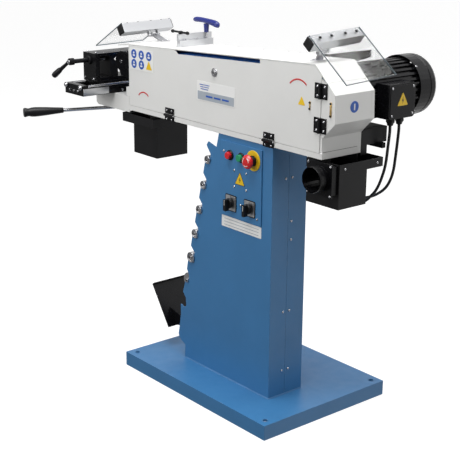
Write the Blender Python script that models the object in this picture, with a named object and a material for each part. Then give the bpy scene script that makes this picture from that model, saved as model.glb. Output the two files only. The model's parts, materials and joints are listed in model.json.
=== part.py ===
"""Pipe-notching belt grinder on a pedestal: every piece as its own solid.

Metres, +Z up, X runs along the belt from the vise (-X) to the drive wheel (+X), the operator
stands at -Y. Lengths are given from the middle of the foot plate's underside; the parent empty
"machine" then moves the whole model so that the world origin is under the middle of its box.
"""

from math import acos, atan2, ceil, cos, pi, radians, sin

import bmesh
import bpy
from mathutils import Matrix, Vector

# ---------------------------------------------------------------- driving dimensions
GAP = 0.0003                     # left between touching pieces
SHEET = 0.003                    # folded steel sheet of the housing and the column

BOX_MIDDLE = (-0.1111, -0.0308)  # middle of the model's box, from the middle of the foot plate

BASE_LENGTH, BASE_DEPTH, BASE_HEIGHT = 0.660, 0.473, 0.044
BASE_TOP_SHEET, BASE_SKIRT = 0.006, 0.006
ANCHOR_INSET, ANCHOR_RADIUS = 0.0255, 0.007

COLUMN_FRONT, COLUMN_BACK, COLUMN_RIGHT = -0.116, 0.012, 0.210
COLUMN_TOP_LEFT, COLUMN_FOOT_LEFT, COLUMN_SEAM = -0.020, -0.182, -0.055
NOTCH_PITCH, NOTCH_LEAN = 0.0792, 0.25
FIRST_NOTCH = (-0.0685, 0.698)   # seat of the uppermost stored roller (x, z)
STORED_RADII = (0.0125, 0.0125, 0.013, 0.014, 0.0165, 0.0235)
THICK_ROLLER, THICK_PIN = 5, 0.0065   # the thickest spare roller hangs between the plates on its pins

HEAD_FRONT, HEAD_BACK, HEAD_BOTTOM = -0.119, 0.023, 0.785
HEAD_LEFT, HEAD_TOP_LEFT, HEAD_TAPER = -0.456, 0.989, 0.045
DOOR_BOTTOM, DOOR_RIGHT = 0.8005, 0.3893
LID_LEFT, LID_RIGHT, SLOT_DROP = -0.2215, 0.155, 0.0145
# right end of the housing seen from the front: from the top chamfer down to the floor of the housing
END_PROFILE = ((0.365, 1.026), (0.440, 0.956), (0.4425, 0.884), (0.399, 0.841), (0.399, 0.785))
COVER_TOP_X, COVER_LOW_X = 0.411, 0.4062            # where the end cover starts on the two chamfers
ARM_LEFT, ARM_BOTTOM, ARM_TOP = -0.643, 0.777, 0.8265

AXIS_Z = 0.930                   # height of the wheel, the notching roller and the vise screw
WHEEL_X, WHEEL_RADIUS = 0.326, 0.0765
ROLLER_X, ROLLER_RADIUS = -0.505, 0.0212
BELT_FRONT, BELT_BACK, BELT_THICKNESS, BELT_RIDE = -0.108, -0.008, 0.0012, 0.0004
PLATEN_LEFT, PLATEN_RIGHT = -0.215, 0.165

DOOR_HINGES_X, DOOR_HINGE_AXIS = (-0.246, 0.196), (-0.1238, 0.8000)      # axis (y, z), along X
END_HINGES_Z, END_HINGE_AXIS = (0.961, 0.873), (0.3905, -0.1238)         # axis (x, y), along Z
LID_HINGE_Y = 0.0268

PANEL = (-0.006, 0.169, 0.552, 0.768)                                    # x, x, z, z
PANEL_FACE = -0.1193
STOP_AT, START_AT, ESTOP_AT = (0.035, 0.731), (0.083, 0.732), (0.134, 0.733)
KNOBS_AT = ((0.0405, 0.593), (0.1215, 0.594))

MOTOR_RADIUS, MOTOR_END = 0.078, 0.2440
COWL_RADIUS, COWL_START, COWL_END = 0.085, 0.2365, 0.308
BOX_SEAT_X = 0.394               # flat on the motor that the terminal box sits on
CABLE_RADIUS = 0.004

SLIDE_BOX = (-0.640, -0.537, -0.236, 0.020, 0.8268, 0.859)               # x, x, y, y, z, z
GUIDE_BARS_X, GUIDE_BAR_Z, GUIDE_BAR_RADIUS = (-0.630, -0.548), 0.8530, 0.006
VISE_BOX = (-0.623, -0.553, -0.177, 0.035, 0.864, 0.952)
VISE_SCREW_X = -0.588
FEED_PIVOT, FEED_GRIP_END, FEED_LEVER_Z = (-0.578, -0.050), (-0.682, -0.365), 0.770

# shields: bar centre (x, z), bar twist, pivot (x, z), front and back ends (y), pane's width, climb; degrees
LEFT_SHIELD = ((-0.494, 1.030), 29.5, (-0.482, 1.006), -0.119, 0.066, 0.172, 1.0)
RIGHT_SHIELD = ((0.341, 1.0765), 50.5, (0.335, 1.0485), -0.119, 0.062, 0.171, 3.0)
SHIELD_BAR_SIDE, PANE_THICKNESS = 0.029, 0.003


def head_top(x):
    """Height of the housing's sloping top sheet."""
    return HEAD_TOP_LEFT + HEAD_TAPER * (x - HEAD_LEFT)


def chamfer_point(x, edge=0):
    """Point (x, z) on the upper (0) or lower (2) chamfer at the right end of the housing."""
    (x0, z0), (x1, z1) = END_PROFILE[edge:edge + 2]
    return (x, z0 + (z1 - z0) * (x - x0) / (x1 - x0))


def notch_seat(k):
    """Centre (x, z) of the k-th stored roller, counted from the top."""
    return (FIRST_NOTCH[0] - NOTCH_PITCH * NOTCH_LEAN * k, FIRST_NOTCH[1] - NOTCH_PITCH * k)


# ---------------------------------------------------------------- scene and materials
for old in list(bpy.data.objects):
    bpy.data.objects.remove(old, do_unlink=True)

MACHINE = bpy.data.objects.new("machine", None)
MACHINE.location = (-BOX_MIDDLE[0], -BOX_MIDDLE[1], 0.0)
bpy.context.scene.collection.objects.link(MACHINE)

FINISHES = {
    "column_blue": ((0.065, 0.180, 0.360), 0.45, 0.0),
    "housing_grey": ((0.62, 0.62, 0.60), 0.50, 0.0),
    "black_paint": ((0.016, 0.016, 0.018), 0.45, 0.0),
    "dark_steel": ((0.045, 0.050, 0.055), 0.55, 0.6),
    "bright_steel": ((0.62, 0.62, 0.63), 0.28, 1.0),
    "aluminium": ((0.70, 0.71, 0.73), 0.35, 1.0),
    "abrasive_blue": ((0.000, 0.075, 0.330), 0.90, 0.0),
    "red_plastic": ((0.70, 0.020, 0.025), 0.35, 0.0),
    "green_plastic": ((0.010, 0.330, 0.130), 0.35, 0.0),
    "black_plastic": ((0.020, 0.020, 0.022), 0.55, 0.0),
    "key_blue": ((0.020, 0.030, 0.230), 0.40, 0.0),
    "clear_pane": ((0.90, 0.93, 0.94), 0.05, 0.0),
}


def finish(name):
    """Principled material of that name, made once."""
    if name in bpy.data.materials:
        return bpy.data.materials[name]
    colour, roughness, metallic = FINISHES[name]
    material = bpy.data.materials.new(name)
    material.use_nodes = True
    shader = material.node_tree.nodes["Principled BSDF"]
    shader.inputs["Base Color"].default_value = (*colour, 1.0)
    shader.inputs["Roughness"].default_value = roughness
    shader.inputs["Metallic"].default_value = metallic
    return material


# ---------------------------------------------------------------- shapes
def arc(centre, radius, start, end, step=10.0):
    """Points on an arc from start to end degrees, no more than step degrees apart."""
    count = max(1, ceil(abs(end - start) / step))
    turns = [radians(start + (end - start) * k / count) for k in range(count + 1)]
    return [(centre[0] + radius * cos(t), centre[1] + radius * sin(t)) for t in turns]


def lift(point, level, axis):
    """A drawing point on its plane: (x, y) for axis Z, (x, z) for axis Y, (y, z) for axis X."""
    a, b = point
    return {"X": (level, a, b), "Y": (a, level, b), "Z": (a, b, level)}[axis]


def fresh_mesh(name, bm):
    bmesh.ops.recalc_face_normals(bm, faces=bm.faces)
    mesh = bpy.data.meshes.new(name)
    bm.to_mesh(mesh)
    bm.free()
    return mesh


def prism(outline, low, high, axis="Y"):
    """Closed solid of a plane outline pulled from low to high along axis."""
    bm = bmesh.new()
    face = bm.faces.new([bm.verts.new(lift(p, low, axis)) for p in outline])
    grown = bmesh.ops.extrude_face_region(bm, geom=[face])
    shift = Vector(lift((0.0, 0.0), high - low, axis))
    moved = [g for g in grown["geom"] if isinstance(g, bmesh.types.BMVert)]
    bmesh.ops.translate(bm, verts=moved, vec=shift)
    return fresh_mesh("prism", bm)


def box(x0, x1, y0, y1, z0, z1):
    return prism([(x0, z0), (x1, z0), (x1, z1), (x0, z1)], y0, y1, "Y")


def ring_prism(outer, inner, low, high):
    """Closed band between two outlines of equal point count, pulled along Y."""
    bm = bmesh.new()
    rings = [[bm.verts.new(lift(p, y, "Y")) for p in line]
             for line, y in ((outer, low), (inner, low), (inner, high), (outer, high))]
    count = len(outer)
    for ring, after in zip(rings, rings[1:] + rings[:1]):
        for k in range(count):
            bm.faces.new((ring[k], ring[(k + 1) % count], after[(k + 1) % count], after[k]))
    return fresh_mesh("band", bm)


def turned(profile, centre, axis="Y", segments=24):
    """Solid of revolution: profile is (radius, place along axis); a zero radius ends on the axis."""
    bm = bmesh.new()
    rings = []
    for radius, place in profile:
        if radius == 0.0:
            rings.append([bm.verts.new(lift(centre, place, axis))])
            continue
        spots = arc(centre, radius, 0.0, 360.0 - 360.0 / segments, 360.0 / segments)
        rings.append([bm.verts.new(lift(p, place, axis)) for p in spots])
    closed = len(rings[0]) > 1
    pairs = list(zip(rings, rings[1:])) + ([(rings[-1], rings[0])] if closed else [])
    for one, two in pairs:
        for k in range(segments):
            after = (k + 1) % segments
            if len(one) == 1:
                bm.faces.new((one[0], two[k], two[after]))
            elif len(two) == 1:
                bm.faces.new((one[k], two[0], one[after]))
            else:
                bm.faces.new((one[k], two[k], two[after], one[after]))
    return fresh_mesh("turned", bm)


def cylinder(centre, radius, low, high, axis="Y", segments=24):
    return turned([(0.0, low), (radius, low), (radius, high), (0.0, high)], centre, axis, segments)


def rod(start, end, radius, end_radius=None, segments=12):
    """Round bar between two points, straight or tapering."""
    start, end = Vector(start), Vector(end)
    reach = end - start
    profile = [(0.0, 0.0), (radius, 0.0), (end_radius or radius, reach.length), (0.0, reach.length)]
    mesh = turned(profile, (0.0, 0.0), "Z", segments)
    mesh.transform(Matrix.Translation(start) @ reach.to_track_quat("Z", "Y").to_matrix().to_4x4())
    return mesh


def smooth_line(points, spacing):
    """Points read from one smooth curve through the given ones, about spacing apart."""
    knots = [Vector(p) for p in points]
    knots = [2 * knots[0] - knots[1], *knots, 2 * knots[-1] - knots[-2]]
    line = []
    for a, b, c, d in zip(knots, knots[1:], knots[2:], knots[3:]):
        steps = max(1, round((c - b).length / spacing))
        for k in range(steps):
            t = k / steps
            line.append(0.5 * (2 * b + (c - a) * t + (2 * a - 5 * b + 4 * c - d) * t ** 2
                               + (3 * b - a - 3 * c + d) * t ** 3))
    return [*line, knots[-2]]


# ---------------------------------------------------------------- pieces
def helper(name, mesh):
    """Shape that only cuts or adds to a piece."""
    tool = bpy.data.objects.new(name, mesh)
    tool.hide_render = True
    tool.display_type = "WIRE"
    tool.parent = MACHINE
    bpy.context.scene.collection.objects.link(tool)
    return tool


def piece(name, mesh, look, pivot=(0.0, 0.0, 0.0), plus=(), minus=(), sharp=35.0):
    """Named sub-part with its origin at pivot; plus meshes are joined to it and minus meshes cut."""
    mesh.name = name
    mesh.transform(Matrix.Translation(-Vector(pivot)))
    mesh.shade_smooth()
    mesh.set_sharp_from_angle(angle=radians(sharp))
    mesh.materials.append(finish(look))
    part = bpy.data.objects.new(name, mesh)
    part.location = pivot
    part.parent = MACHINE
    bpy.context.scene.collection.objects.link(part)
    for operation, meshes in (("UNION", plus), ("DIFFERENCE", minus)):
        for k, extra in enumerate(meshes):
            change = part.modifiers.new(f"{operation.lower()}_{k}", "BOOLEAN")
            change.operation = operation
            change.solver = "EXACT"
            change.object = helper(f"{name}_{operation.lower()}_{k}", extra)
    return part


def tube_piece(name, points, radius, look, resolution):
    """Round tube along points, as a curve object with closed ends."""
    curve = bpy.data.curves.new(name, "CURVE")
    curve.dimensions = "3D"
    curve.bevel_depth = radius
    curve.bevel_resolution = resolution
    curve.use_fill_caps = True
    spline = curve.splines.new("POLY")
    spline.points.add(len(points) - 1)
    for spot, place in zip(spline.points, points):
        spot.co = (*place, 1.0)
    curve.materials.append(finish(look))
    part = bpy.data.objects.new(name, curve)
    part.parent = MACHINE
    bpy.context.scene.collection.objects.link(part)
    return part


# ---------------------------------------------------------------- foot and column
def make_base():
    half_x, half_y = BASE_LENGTH / 2, BASE_DEPTH / 2
    hollow = box(-half_x + BASE_SKIRT, half_x - BASE_SKIRT, -half_y + BASE_SKIRT, half_y - BASE_SKIRT,
                 -0.01, BASE_HEIGHT - BASE_TOP_SHEET)
    holes = [cylinder((sx * (half_x - ANCHOR_INSET), sy * (half_y - ANCHOR_INSET)), ANCHOR_RADIUS,
                      0.02, 0.06, "Z", 20) for sx in (-1, 1) for sy in (-1, 1)]
    piece("base_plate", box(-half_x, half_x, -half_y, half_y, 0.0, BASE_HEIGHT), "column_blue",
          minus=[hollow, *holes])


def serrated_outline():
    """Column plate seen from the front, its left edge cut into seats for the spare rollers."""
    foot, top = BASE_HEIGHT + GAP, HEAD_BOTTOM - GAP
    edge = [(COLUMN_FOOT_LEFT, foot), (COLUMN_RIGHT, foot), (COLUMN_RIGHT, top), (COLUMN_TOP_LEFT, top),
            (-0.031, 0.741), (-0.068, 0.7515), (-0.0755, 0.741)]
    radii = [*STORED_RADII, 0.0125]
    radii[THICK_ROLLER] = THICK_PIN
    for k, radius in enumerate(radii):
        x, z = notch_seat(k)
        reach = radius + 0.0006
        edge += [(x - 0.003, z + 0.036), (x + reach * 0.77 + 0.001, z + 0.019)]
        edge += arc((x, z), reach, 30.0, -130.0, 20.0)
        edge += [(x - reach * 0.64 - 0.006, z - reach * 0.77 + 0.002)]
    last_x, last_z = notch_seat(len(radii) - 1)
    edge += [(last_x - 0.015, last_z - 0.048), (-0.214, 0.113), (-0.209, 0.101), (-0.200, 0.095),
             (-0.180, 0.086)]
    return edge


def left_wall_x(z):
    return COLUMN_FOOT_LEFT + 0.002 + (z - BASE_HEIGHT) * NOTCH_LEAN


def make_column():
    foot, top = BASE_HEIGHT + GAP, HEAD_BOTTOM - GAP
    side_front = box(COLUMN_RIGHT - SHEET, COLUMN_RIGHT, COLUMN_FRONT + 0.001, COLUMN_SEAM - GAP, foot, top)
    window = box(0.004, 0.160, COLUMN_FRONT - 0.01, COLUMN_FRONT + 0.01, 0.560, 0.756)
    piece("column_shell", prism(serrated_outline(), COLUMN_FRONT, COLUMN_FRONT + SHEET), "column_blue",
          plus=[side_front], minus=[window])

    side_back = box(COLUMN_RIGHT - SHEET, COLUMN_RIGHT, COLUMN_SEAM + GAP, COLUMN_BACK - 0.001, foot, top)
    wall_line = [(left_wall_x(foot), foot), (left_wall_x(foot) + SHEET, foot),
                 (left_wall_x(top) + SHEET, top), (left_wall_x(top), top)]
    left_wall = prism(wall_line, COLUMN_FRONT + SHEET + GAP, COLUMN_BACK - 0.001)
    piece("column_rear_cover", prism(serrated_outline(), COLUMN_BACK - SHEET, COLUMN_BACK), "column_blue",
          plus=[side_back, left_wall])


def make_stored_rollers():
    """Spare rollers: the slim ones lie in the notches on their skins, the thickest one on its pins."""
    for k, radius in enumerate(STORED_RADII):
        if k == THICK_ROLLER:
            pin, shoulder, tip = THICK_PIN, SHEET + GAP, 0.0045
            half = [(pin, -tip), (pin, shoulder), (radius - 0.0008, shoulder), (radius, shoulder + 0.0008)]
        else:
            pin, rim, shoulder, tip = 0.0040, radius - 0.0035, -0.0050, 0.0065
            half = [(pin, -tip), (pin, shoulder + 0.003), (rim, shoulder + 0.003), (rim, shoulder),
                    (radius - 0.0008, shoulder), (radius, shoulder + 0.0008)]
        profile = [(0.0, COLUMN_FRONT - tip)] + [(r, COLUMN_FRONT + along) for r, along in half]
        profile += [(r, COLUMN_BACK - along) for r, along in reversed(half)] + [(0.0, COLUMN_BACK + tip)]
        piece(f"stored_roller_{k + 1}", turned(profile, notch_seat(k), "Y", 20), "bright_steel")


def make_tool_tray():
    """Sloping tray beside the column; its ear is bolted to a plate that stands out from the column."""
    upper, lower = Vector((-0.352, 0.238)), Vector((-0.268, 0.115))
    along = (lower - upper).normalized()
    across = Vector((-along.y, along.x))
    thick = across * 0.0025
    outline = [upper, lower, lower + thick, upper + thick]
    lip = [upper, upper + across * 0.012, upper + across * 0.012 + along * 0.0025, upper + along * 0.0025]
    root = across * 0.001
    ear = [upper + along * 0.147 + root, Vector((-0.222, 0.128)), Vector((-0.238, 0.157)),
           upper + along * 0.085 + root]
    piece("tool_tray", prism(outline, COLUMN_FRONT, COLUMN_BACK), "black_paint",
          plus=[prism(lip, COLUMN_FRONT, COLUMN_BACK), prism(ear, -0.0870, -0.0840)])

    top, bottom, plate = 0.160, 0.100, -0.0837
    stay = [(-0.213, bottom), (left_wall_x(bottom) - GAP, bottom), (left_wall_x(top) - GAP, top),
            (-0.228, top), (-0.2440, 0.130)]
    holes = [cylinder(spot, 0.0035, plate - 0.01, plate + 0.01, "Y", 16) for spot in ((-0.199, 0.112),
                                                                                      (-0.190, 0.148))]
    piece("tray_bracket", prism(stay, plate, plate + 0.003), "column_blue", minus=holes)


# ---------------------------------------------------------------- housing
def chain(points, depth):
    """Closed outline of a strip of that depth to the left of a run of points, with mitred corners."""
    spots = [Vector(p) for p in points]
    inner = []
    for k, spot in enumerate(spots):
        sides = []
        if k > 0:
            sides.append((spot - spots[k - 1]).normalized())
        if k < len(spots) - 1:
            sides.append((spots[k + 1] - spot).normalized())
        normals = [Vector((-s.y, s.x)) for s in sides]
        mean = sum(normals, Vector((0.0, 0.0))).normalized()
        inner.append(spot + mean * depth / mean.dot(normals[0]))
    return [tuple(p) for p in (*spots, *reversed(inner))]


def make_head_frame():
    """Folded channel that carries everything: back wall, floor, fixed top sheets, post and vise arm."""
    under = 0.0035
    inset = 0.0004                                  # the back wall stays inside the sheets that wrap its edge
    wall = [(HEAD_LEFT, HEAD_BOTTOM), (END_PROFILE[-1][0] - inset, HEAD_BOTTOM),
            *[(x - inset, z - inset) for x, z in reversed(END_PROFILE[:-1])],
            (HEAD_LEFT, HEAD_TOP_LEFT - inset)]
    notch = [(LID_LEFT, head_top(LID_LEFT) - under), (LID_RIGHT, head_top(LID_RIGHT) - under),
             (LID_RIGHT, head_top(LID_RIGHT) + 0.02), (LID_LEFT, head_top(LID_LEFT) + 0.02)]
    floor = box(ARM_LEFT, END_PROFILE[-1][0], HEAD_FRONT, HEAD_BACK, HEAD_BOTTOM, HEAD_BOTTOM + SHEET)
    lip = box(HEAD_LEFT - 0.002, END_PROFILE[-1][0], HEAD_FRONT, HEAD_FRONT + SHEET, HEAD_BOTTOM,
              DOOR_BOTTOM - 0.001)
    end_lip = chain([END_PROFILE[-1], END_PROFILE[3], chamfer_point(COVER_LOW_X - 0.0005, 2)], SHEET)
    arm_front = [(ARM_LEFT + 0.012, ARM_BOTTOM), (HEAD_LEFT - 0.001, ARM_BOTTOM),
                 (HEAD_LEFT - 0.001, ARM_TOP),
                 (ARM_LEFT, ARM_TOP), (ARM_LEFT, ARM_BOTTOM + 0.008)]
    arm_back = [(HEAD_LEFT + 0.02, p[1]) if p[0] > HEAD_LEFT - 0.01 else p for p in arm_front]
    arm_deck = box(ARM_LEFT, HEAD_LEFT - 0.018, HEAD_FRONT, HEAD_BACK, ARM_TOP - SHEET, ARM_TOP)

    left_sheet = [(-0.514, 0.981), (-0.456, 0.989), (LID_LEFT - GAP, head_top(LID_LEFT))]
    right_sheet = [(LID_RIGHT + GAP, head_top(LID_RIGHT)), END_PROFILE[0],
                   chamfer_point(COVER_TOP_X - 0.0005)]
    rim = [chamfer_point(COVER_LOW_X + 0.0010, 2), END_PROFILE[2], END_PROFILE[1],
           chamfer_point(COVER_TOP_X + 0.0010)]
    spring_stop = box(-0.330, -0.322, -0.075, HEAD_BACK - 0.001, 0.915, 0.945)

    mouths = [box(-0.452, -0.350, -0.092, 0.002, HEAD_BOTTOM - 0.01, HEAD_BOTTOM + 0.01),
              box(0.328, 0.388, -0.088, 0.000, HEAD_BOTTOM - 0.01, HEAD_BOTTOM + 0.01)]
    trimmed_floor = box(ARM_LEFT - 0.01, HEAD_LEFT - 0.0015, HEAD_FRONT + SHEET, HEAD_BACK - SHEET,
                        ARM_BOTTOM - 0.01, ARM_TOP - SHEET)
    shaft_hole = cylinder((WHEEL_X, AXIS_Z), 0.030, HEAD_BACK - 0.01, HEAD_BACK + 0.01)
    y0, y1 = HEAD_FRONT, HEAD_BACK - 0.001
    piece("head_frame", prism(wall, HEAD_BACK - SHEET, HEAD_BACK), "housing_grey",
          plus=[floor, lip, prism(end_lip, HEAD_FRONT + 0.0028, y1), arm_deck,
                prism(arm_front, HEAD_FRONT, HEAD_FRONT + SHEET),
                prism(arm_back, HEAD_BACK - SHEET, HEAD_BACK),
                prism(chain(list(reversed(left_sheet)), SHEET), y0, y1),
                prism(chain(list(reversed(right_sheet)), SHEET), y0, y1),
                prism(chain(rim, SHEET), 0.0110, y1), spring_stop],
          minus=[prism(notch, HEAD_BACK - 0.02, HEAD_BACK + 0.02), *mouths, trimmed_floor, shaft_hole])


def make_front_door():
    under = SHEET + 0.0005
    left, right = HEAD_LEFT, DOOR_RIGHT
    outline = [(left, DOOR_BOTTOM), (right, DOOR_BOTTOM), (right, 0.9980), (0.3630, head_top(0.363) - under),
               (LID_RIGHT, head_top(LID_RIGHT) - under), (LID_RIGHT, head_top(LID_RIGHT) - SLOT_DROP),
               (LID_LEFT + 0.015, head_top(LID_LEFT + 0.015) - SLOT_DROP),
               (LID_LEFT, head_top(LID_LEFT) - under),
               (left, HEAD_TOP_LEFT - under), (left, 0.858), (left - 0.016, 0.855),
               (left - 0.016, ARM_TOP + 0.001),
               (left, ARM_TOP + 0.001)]
    back = HEAD_FRONT + 0.0025
    fold = 0.005
    slot_lip = [(LID_LEFT + 0.020, head_top(LID_LEFT + 0.020) - SLOT_DROP - 0.0001),
                (LID_RIGHT - 0.004, head_top(LID_RIGHT - 0.004) - SLOT_DROP - 0.0001)]
    slot_lip += [(x, z - 0.002) for x, z in reversed(slot_lip)]
    folds = [box(-0.400, right - 0.002, back - 0.001, back + fold, DOOR_BOTTOM + 0.0005,
                 DOOR_BOTTOM + 0.0025),
             box(right - 0.0025, right - 0.0005, back - 0.001, back + fold, DOOR_BOTTOM + 0.001, 0.990),
             prism(slot_lip, back - 0.001, back + fold)]
    lock_hole = cylinder((-0.037, 0.954), 0.0068, HEAD_FRONT - 0.01, back + 0.01)
    piece("front_door", prism(outline, HEAD_FRONT, back), "housing_grey", (0.0, *DOOR_HINGE_AXIS),
          plus=folds, minus=[lock_hole])

    lock = [(0.0, -0.1245), (0.0083, -0.1245), (0.0095, -0.1235), (0.0095, -0.1193), (0.0065, -0.1193),
            (0.0065, -0.1120), (0.0, -0.1120)]
    cam = box(-0.041, -0.033, -0.1125, -0.1105, 0.952, 0.976)
    piece("door_lock", turned(lock, (-0.037, 0.954), "Y", 24), "bright_steel", (-0.037, -0.119, 0.954),
          plus=[cam])


def make_end_door():
    """Cover that wraps the drive wheel; it swings on the front right edge of the housing."""
    x0, skin = DOOR_RIGHT + 0.0019, 0.0025
    wrap = [chamfer_point(COVER_LOW_X, 2), END_PROFILE[2], END_PROFILE[1], chamfer_point(COVER_TOP_X)]
    # the face stays lower under the fixed sheet towards the hinge, where it swings sideways beneath it
    tucked = [(x, chamfer_point(x)[1] - under) for x, under in ((COVER_TOP_X, 0.0054), (x0, 0.0098))]
    face = [(x0, 0.8038), (END_PROFILE[3][0], 0.8038), END_PROFILE[3], END_PROFILE[2], END_PROFILE[1],
            chamfer_point(COVER_TOP_X), *tucked]
    piece("end_door", prism(face, HEAD_FRONT, HEAD_FRONT + skin), "housing_grey", (*END_HINGE_AXIS, 0.0),
          plus=[prism(chain(wrap, skin), HEAD_FRONT + 0.001, 0.0107)])


def make_top_lid():
    x0, x1 = LID_LEFT + GAP, LID_RIGHT - GAP
    sheet = [(x0, head_top(x0) - SHEET), (x1, head_top(x1) - SHEET), (x1, head_top(x1)), (x0, head_top(x0))]
    pivot = (x0, LID_HINGE_Y, head_top(x0) - SHEET / 2)
    slope = Matrix.Rotation(-atan2(HEAD_TAPER, 1.0), 4, "Y")
    knuckles = []
    for along in (0.060, 0.280):
        mesh = cylinder((0.0, 0.0), 0.0032, along, along + 0.050, "X", 12)
        mesh.transform(Matrix.Translation(pivot) @ slope)
        knuckles.append(mesh)
    piece("top_lid", prism(sheet, HEAD_FRONT, HEAD_BACK + 0.0015), "housing_grey", pivot, plus=knuckles)


def make_hinges():
    """Fixed leaves with their knuckle; each moving leaf is screwed to its door."""
    y, z = DOOR_HINGE_AXIS
    for name, x in zip(("door_hinge_left", "door_hinge_right"), DOOR_HINGES_X):
        leaf = box(x - 0.021, x + 0.021, HEAD_FRONT - 0.0033, HEAD_FRONT - GAP, 0.7825, 0.7985)
        piece(name, leaf, "black_paint", plus=[cylinder((y, z), 0.0044, x - 0.021, x + 0.021, "X", 16)])
    x, y = END_HINGE_AXIS
    for name, z in zip(("end_hinge_upper", "end_hinge_lower"), END_HINGES_Z):
        leaf = box(x - 0.022, x - 0.0015, HEAD_FRONT - 0.0033, HEAD_FRONT - GAP, z - 0.020, z + 0.020)
        piece(name, leaf, "black_paint", plus=[cylinder((x, y), 0.0044, z - 0.020, z + 0.020, "Z", 16)])


# ---------------------------------------------------------------- belt drive
def tangent_angle(a, ra, b, rb, side):
    """Direction from both centres to where their common tangent touches, above (+1) or below (-1)."""
    way = Vector(b) - Vector(a)
    return (atan2(way.y, way.x) + side * acos((ra - rb) / way.length)) * 180.0 / pi


def belt_loop(offset):
    """Belt outline at that height over its inner face, counter-clockwise from the wheel's foot."""
    wheel, roller = (WHEEL_X, AXIS_Z), (ROLLER_X, AXIS_Z)
    wheel_r, roller_r = WHEEL_RADIUS + BELT_RIDE, ROLLER_RADIUS + BELT_RIDE
    right, left = [(x, platen_top(x) + BELT_RIDE) for x in (PLATEN_RIGHT, PLATEN_LEFT)]
    under = tangent_angle(roller, roller_r, wheel, wheel_r, -1)
    over_wheel = tangent_angle(right, 0.0, wheel, wheel_r, 1)
    over_roller = tangent_angle(roller, roller_r, left, 0.0, 1)
    return (arc(wheel, wheel_r + offset, under, over_wheel, 6.0)
            + [(right[0], right[1] + offset), (left[0], left[1] + offset)]
            + arc(roller, roller_r + offset, over_roller, under + 360.0, 14.0))


def platen_top(x):
    return head_top(x) - SLOT_DROP - BELT_THICKNESS - BELT_RIDE - 0.0005


def make_belt():
    piece("abrasive_belt", ring_prism(belt_loop(BELT_THICKNESS), belt_loop(0.0), BELT_FRONT, BELT_BACK),
          "abrasive_blue")


def make_platen():
    top = [(x, platen_top(x)) for x in (PLATEN_RIGHT - 0.001, PLATEN_LEFT + 0.001)]
    body = [(PLATEN_LEFT - 0.004, platen_top(PLATEN_LEFT) - 0.006), (PLATEN_LEFT,
                                                                     platen_top(PLATEN_LEFT) - 0.009),
            (PLATEN_RIGHT, platen_top(PLATEN_RIGHT) - 0.009), (PLATEN_RIGHT + 0.004,
                                                               platen_top(PLATEN_RIGHT) - 0.006)]
    hang = [(-0.180, platen_top(-0.180) - 0.034), (0.130, platen_top(0.130) - 0.034),
            (0.130, platen_top(0.130) - 0.004), (-0.180, platen_top(-0.180) - 0.004)]
    back = HEAD_BACK - SHEET - GAP
    piece("platen", prism(top + body, BELT_FRONT - 0.001, back), "bright_steel",
          plus=[prism(hang, back - 0.005, back)])


def make_drive_wheel():
    front, back, bore = -0.110, -0.006, 0.0123
    middle = (front + back) / 2
    profile = [(bore, front + 0.022), (0.021, front + 0.022), (0.024, middle - 0.006),
               (0.064, middle - 0.006),
               (0.067, front), (WHEEL_RADIUS - 0.0012, front), (WHEEL_RADIUS, front + 0.020),
               (WHEEL_RADIUS, back - 0.020), (WHEEL_RADIUS - 0.0012, back), (0.067, back),
               (0.064, middle + 0.006),
               (0.024, middle + 0.006), (0.021, back - 0.010), (bore, back - 0.010)]
    piece("drive_wheel", turned(profile, (WHEEL_X, AXIS_Z), "Y", 48), "aluminium", (WHEEL_X, middle, AXIS_Z))

    fan = COWL_END - 0.042
    shaft = [(0.0, -0.104), (0.0080, -0.104), (0.0120, -0.100), (0.0120, 0.060), (0.0400, 0.060),
             (0.0400, 0.200),
             (0.0120, 0.200), (0.0120, fan - 0.006), (0.0200, fan - 0.006), (0.0200, fan), (0.0640, fan),
             (0.0640, fan + 0.0025), (0.0200, fan + 0.0025), (0.0200, fan + 0.022), (0.0, fan + 0.022)]
    blades = []
    for k in range(7):
        blade = box(0.018, 0.062, fan + 0.002, fan + 0.022, -0.001, 0.001)
        blade.transform(Matrix.Translation((WHEEL_X, 0.0, AXIS_Z)) @ Matrix.Rotation(2 * pi * k / 7, 4, "Y"))
        blades.append(blade)
    piece("motor_rotor", turned(shaft, (WHEEL_X, AXIS_Z), "Y", 24), "dark_steel", (WHEEL_X, 0.15, AXIS_Z),
          plus=blades)


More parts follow.
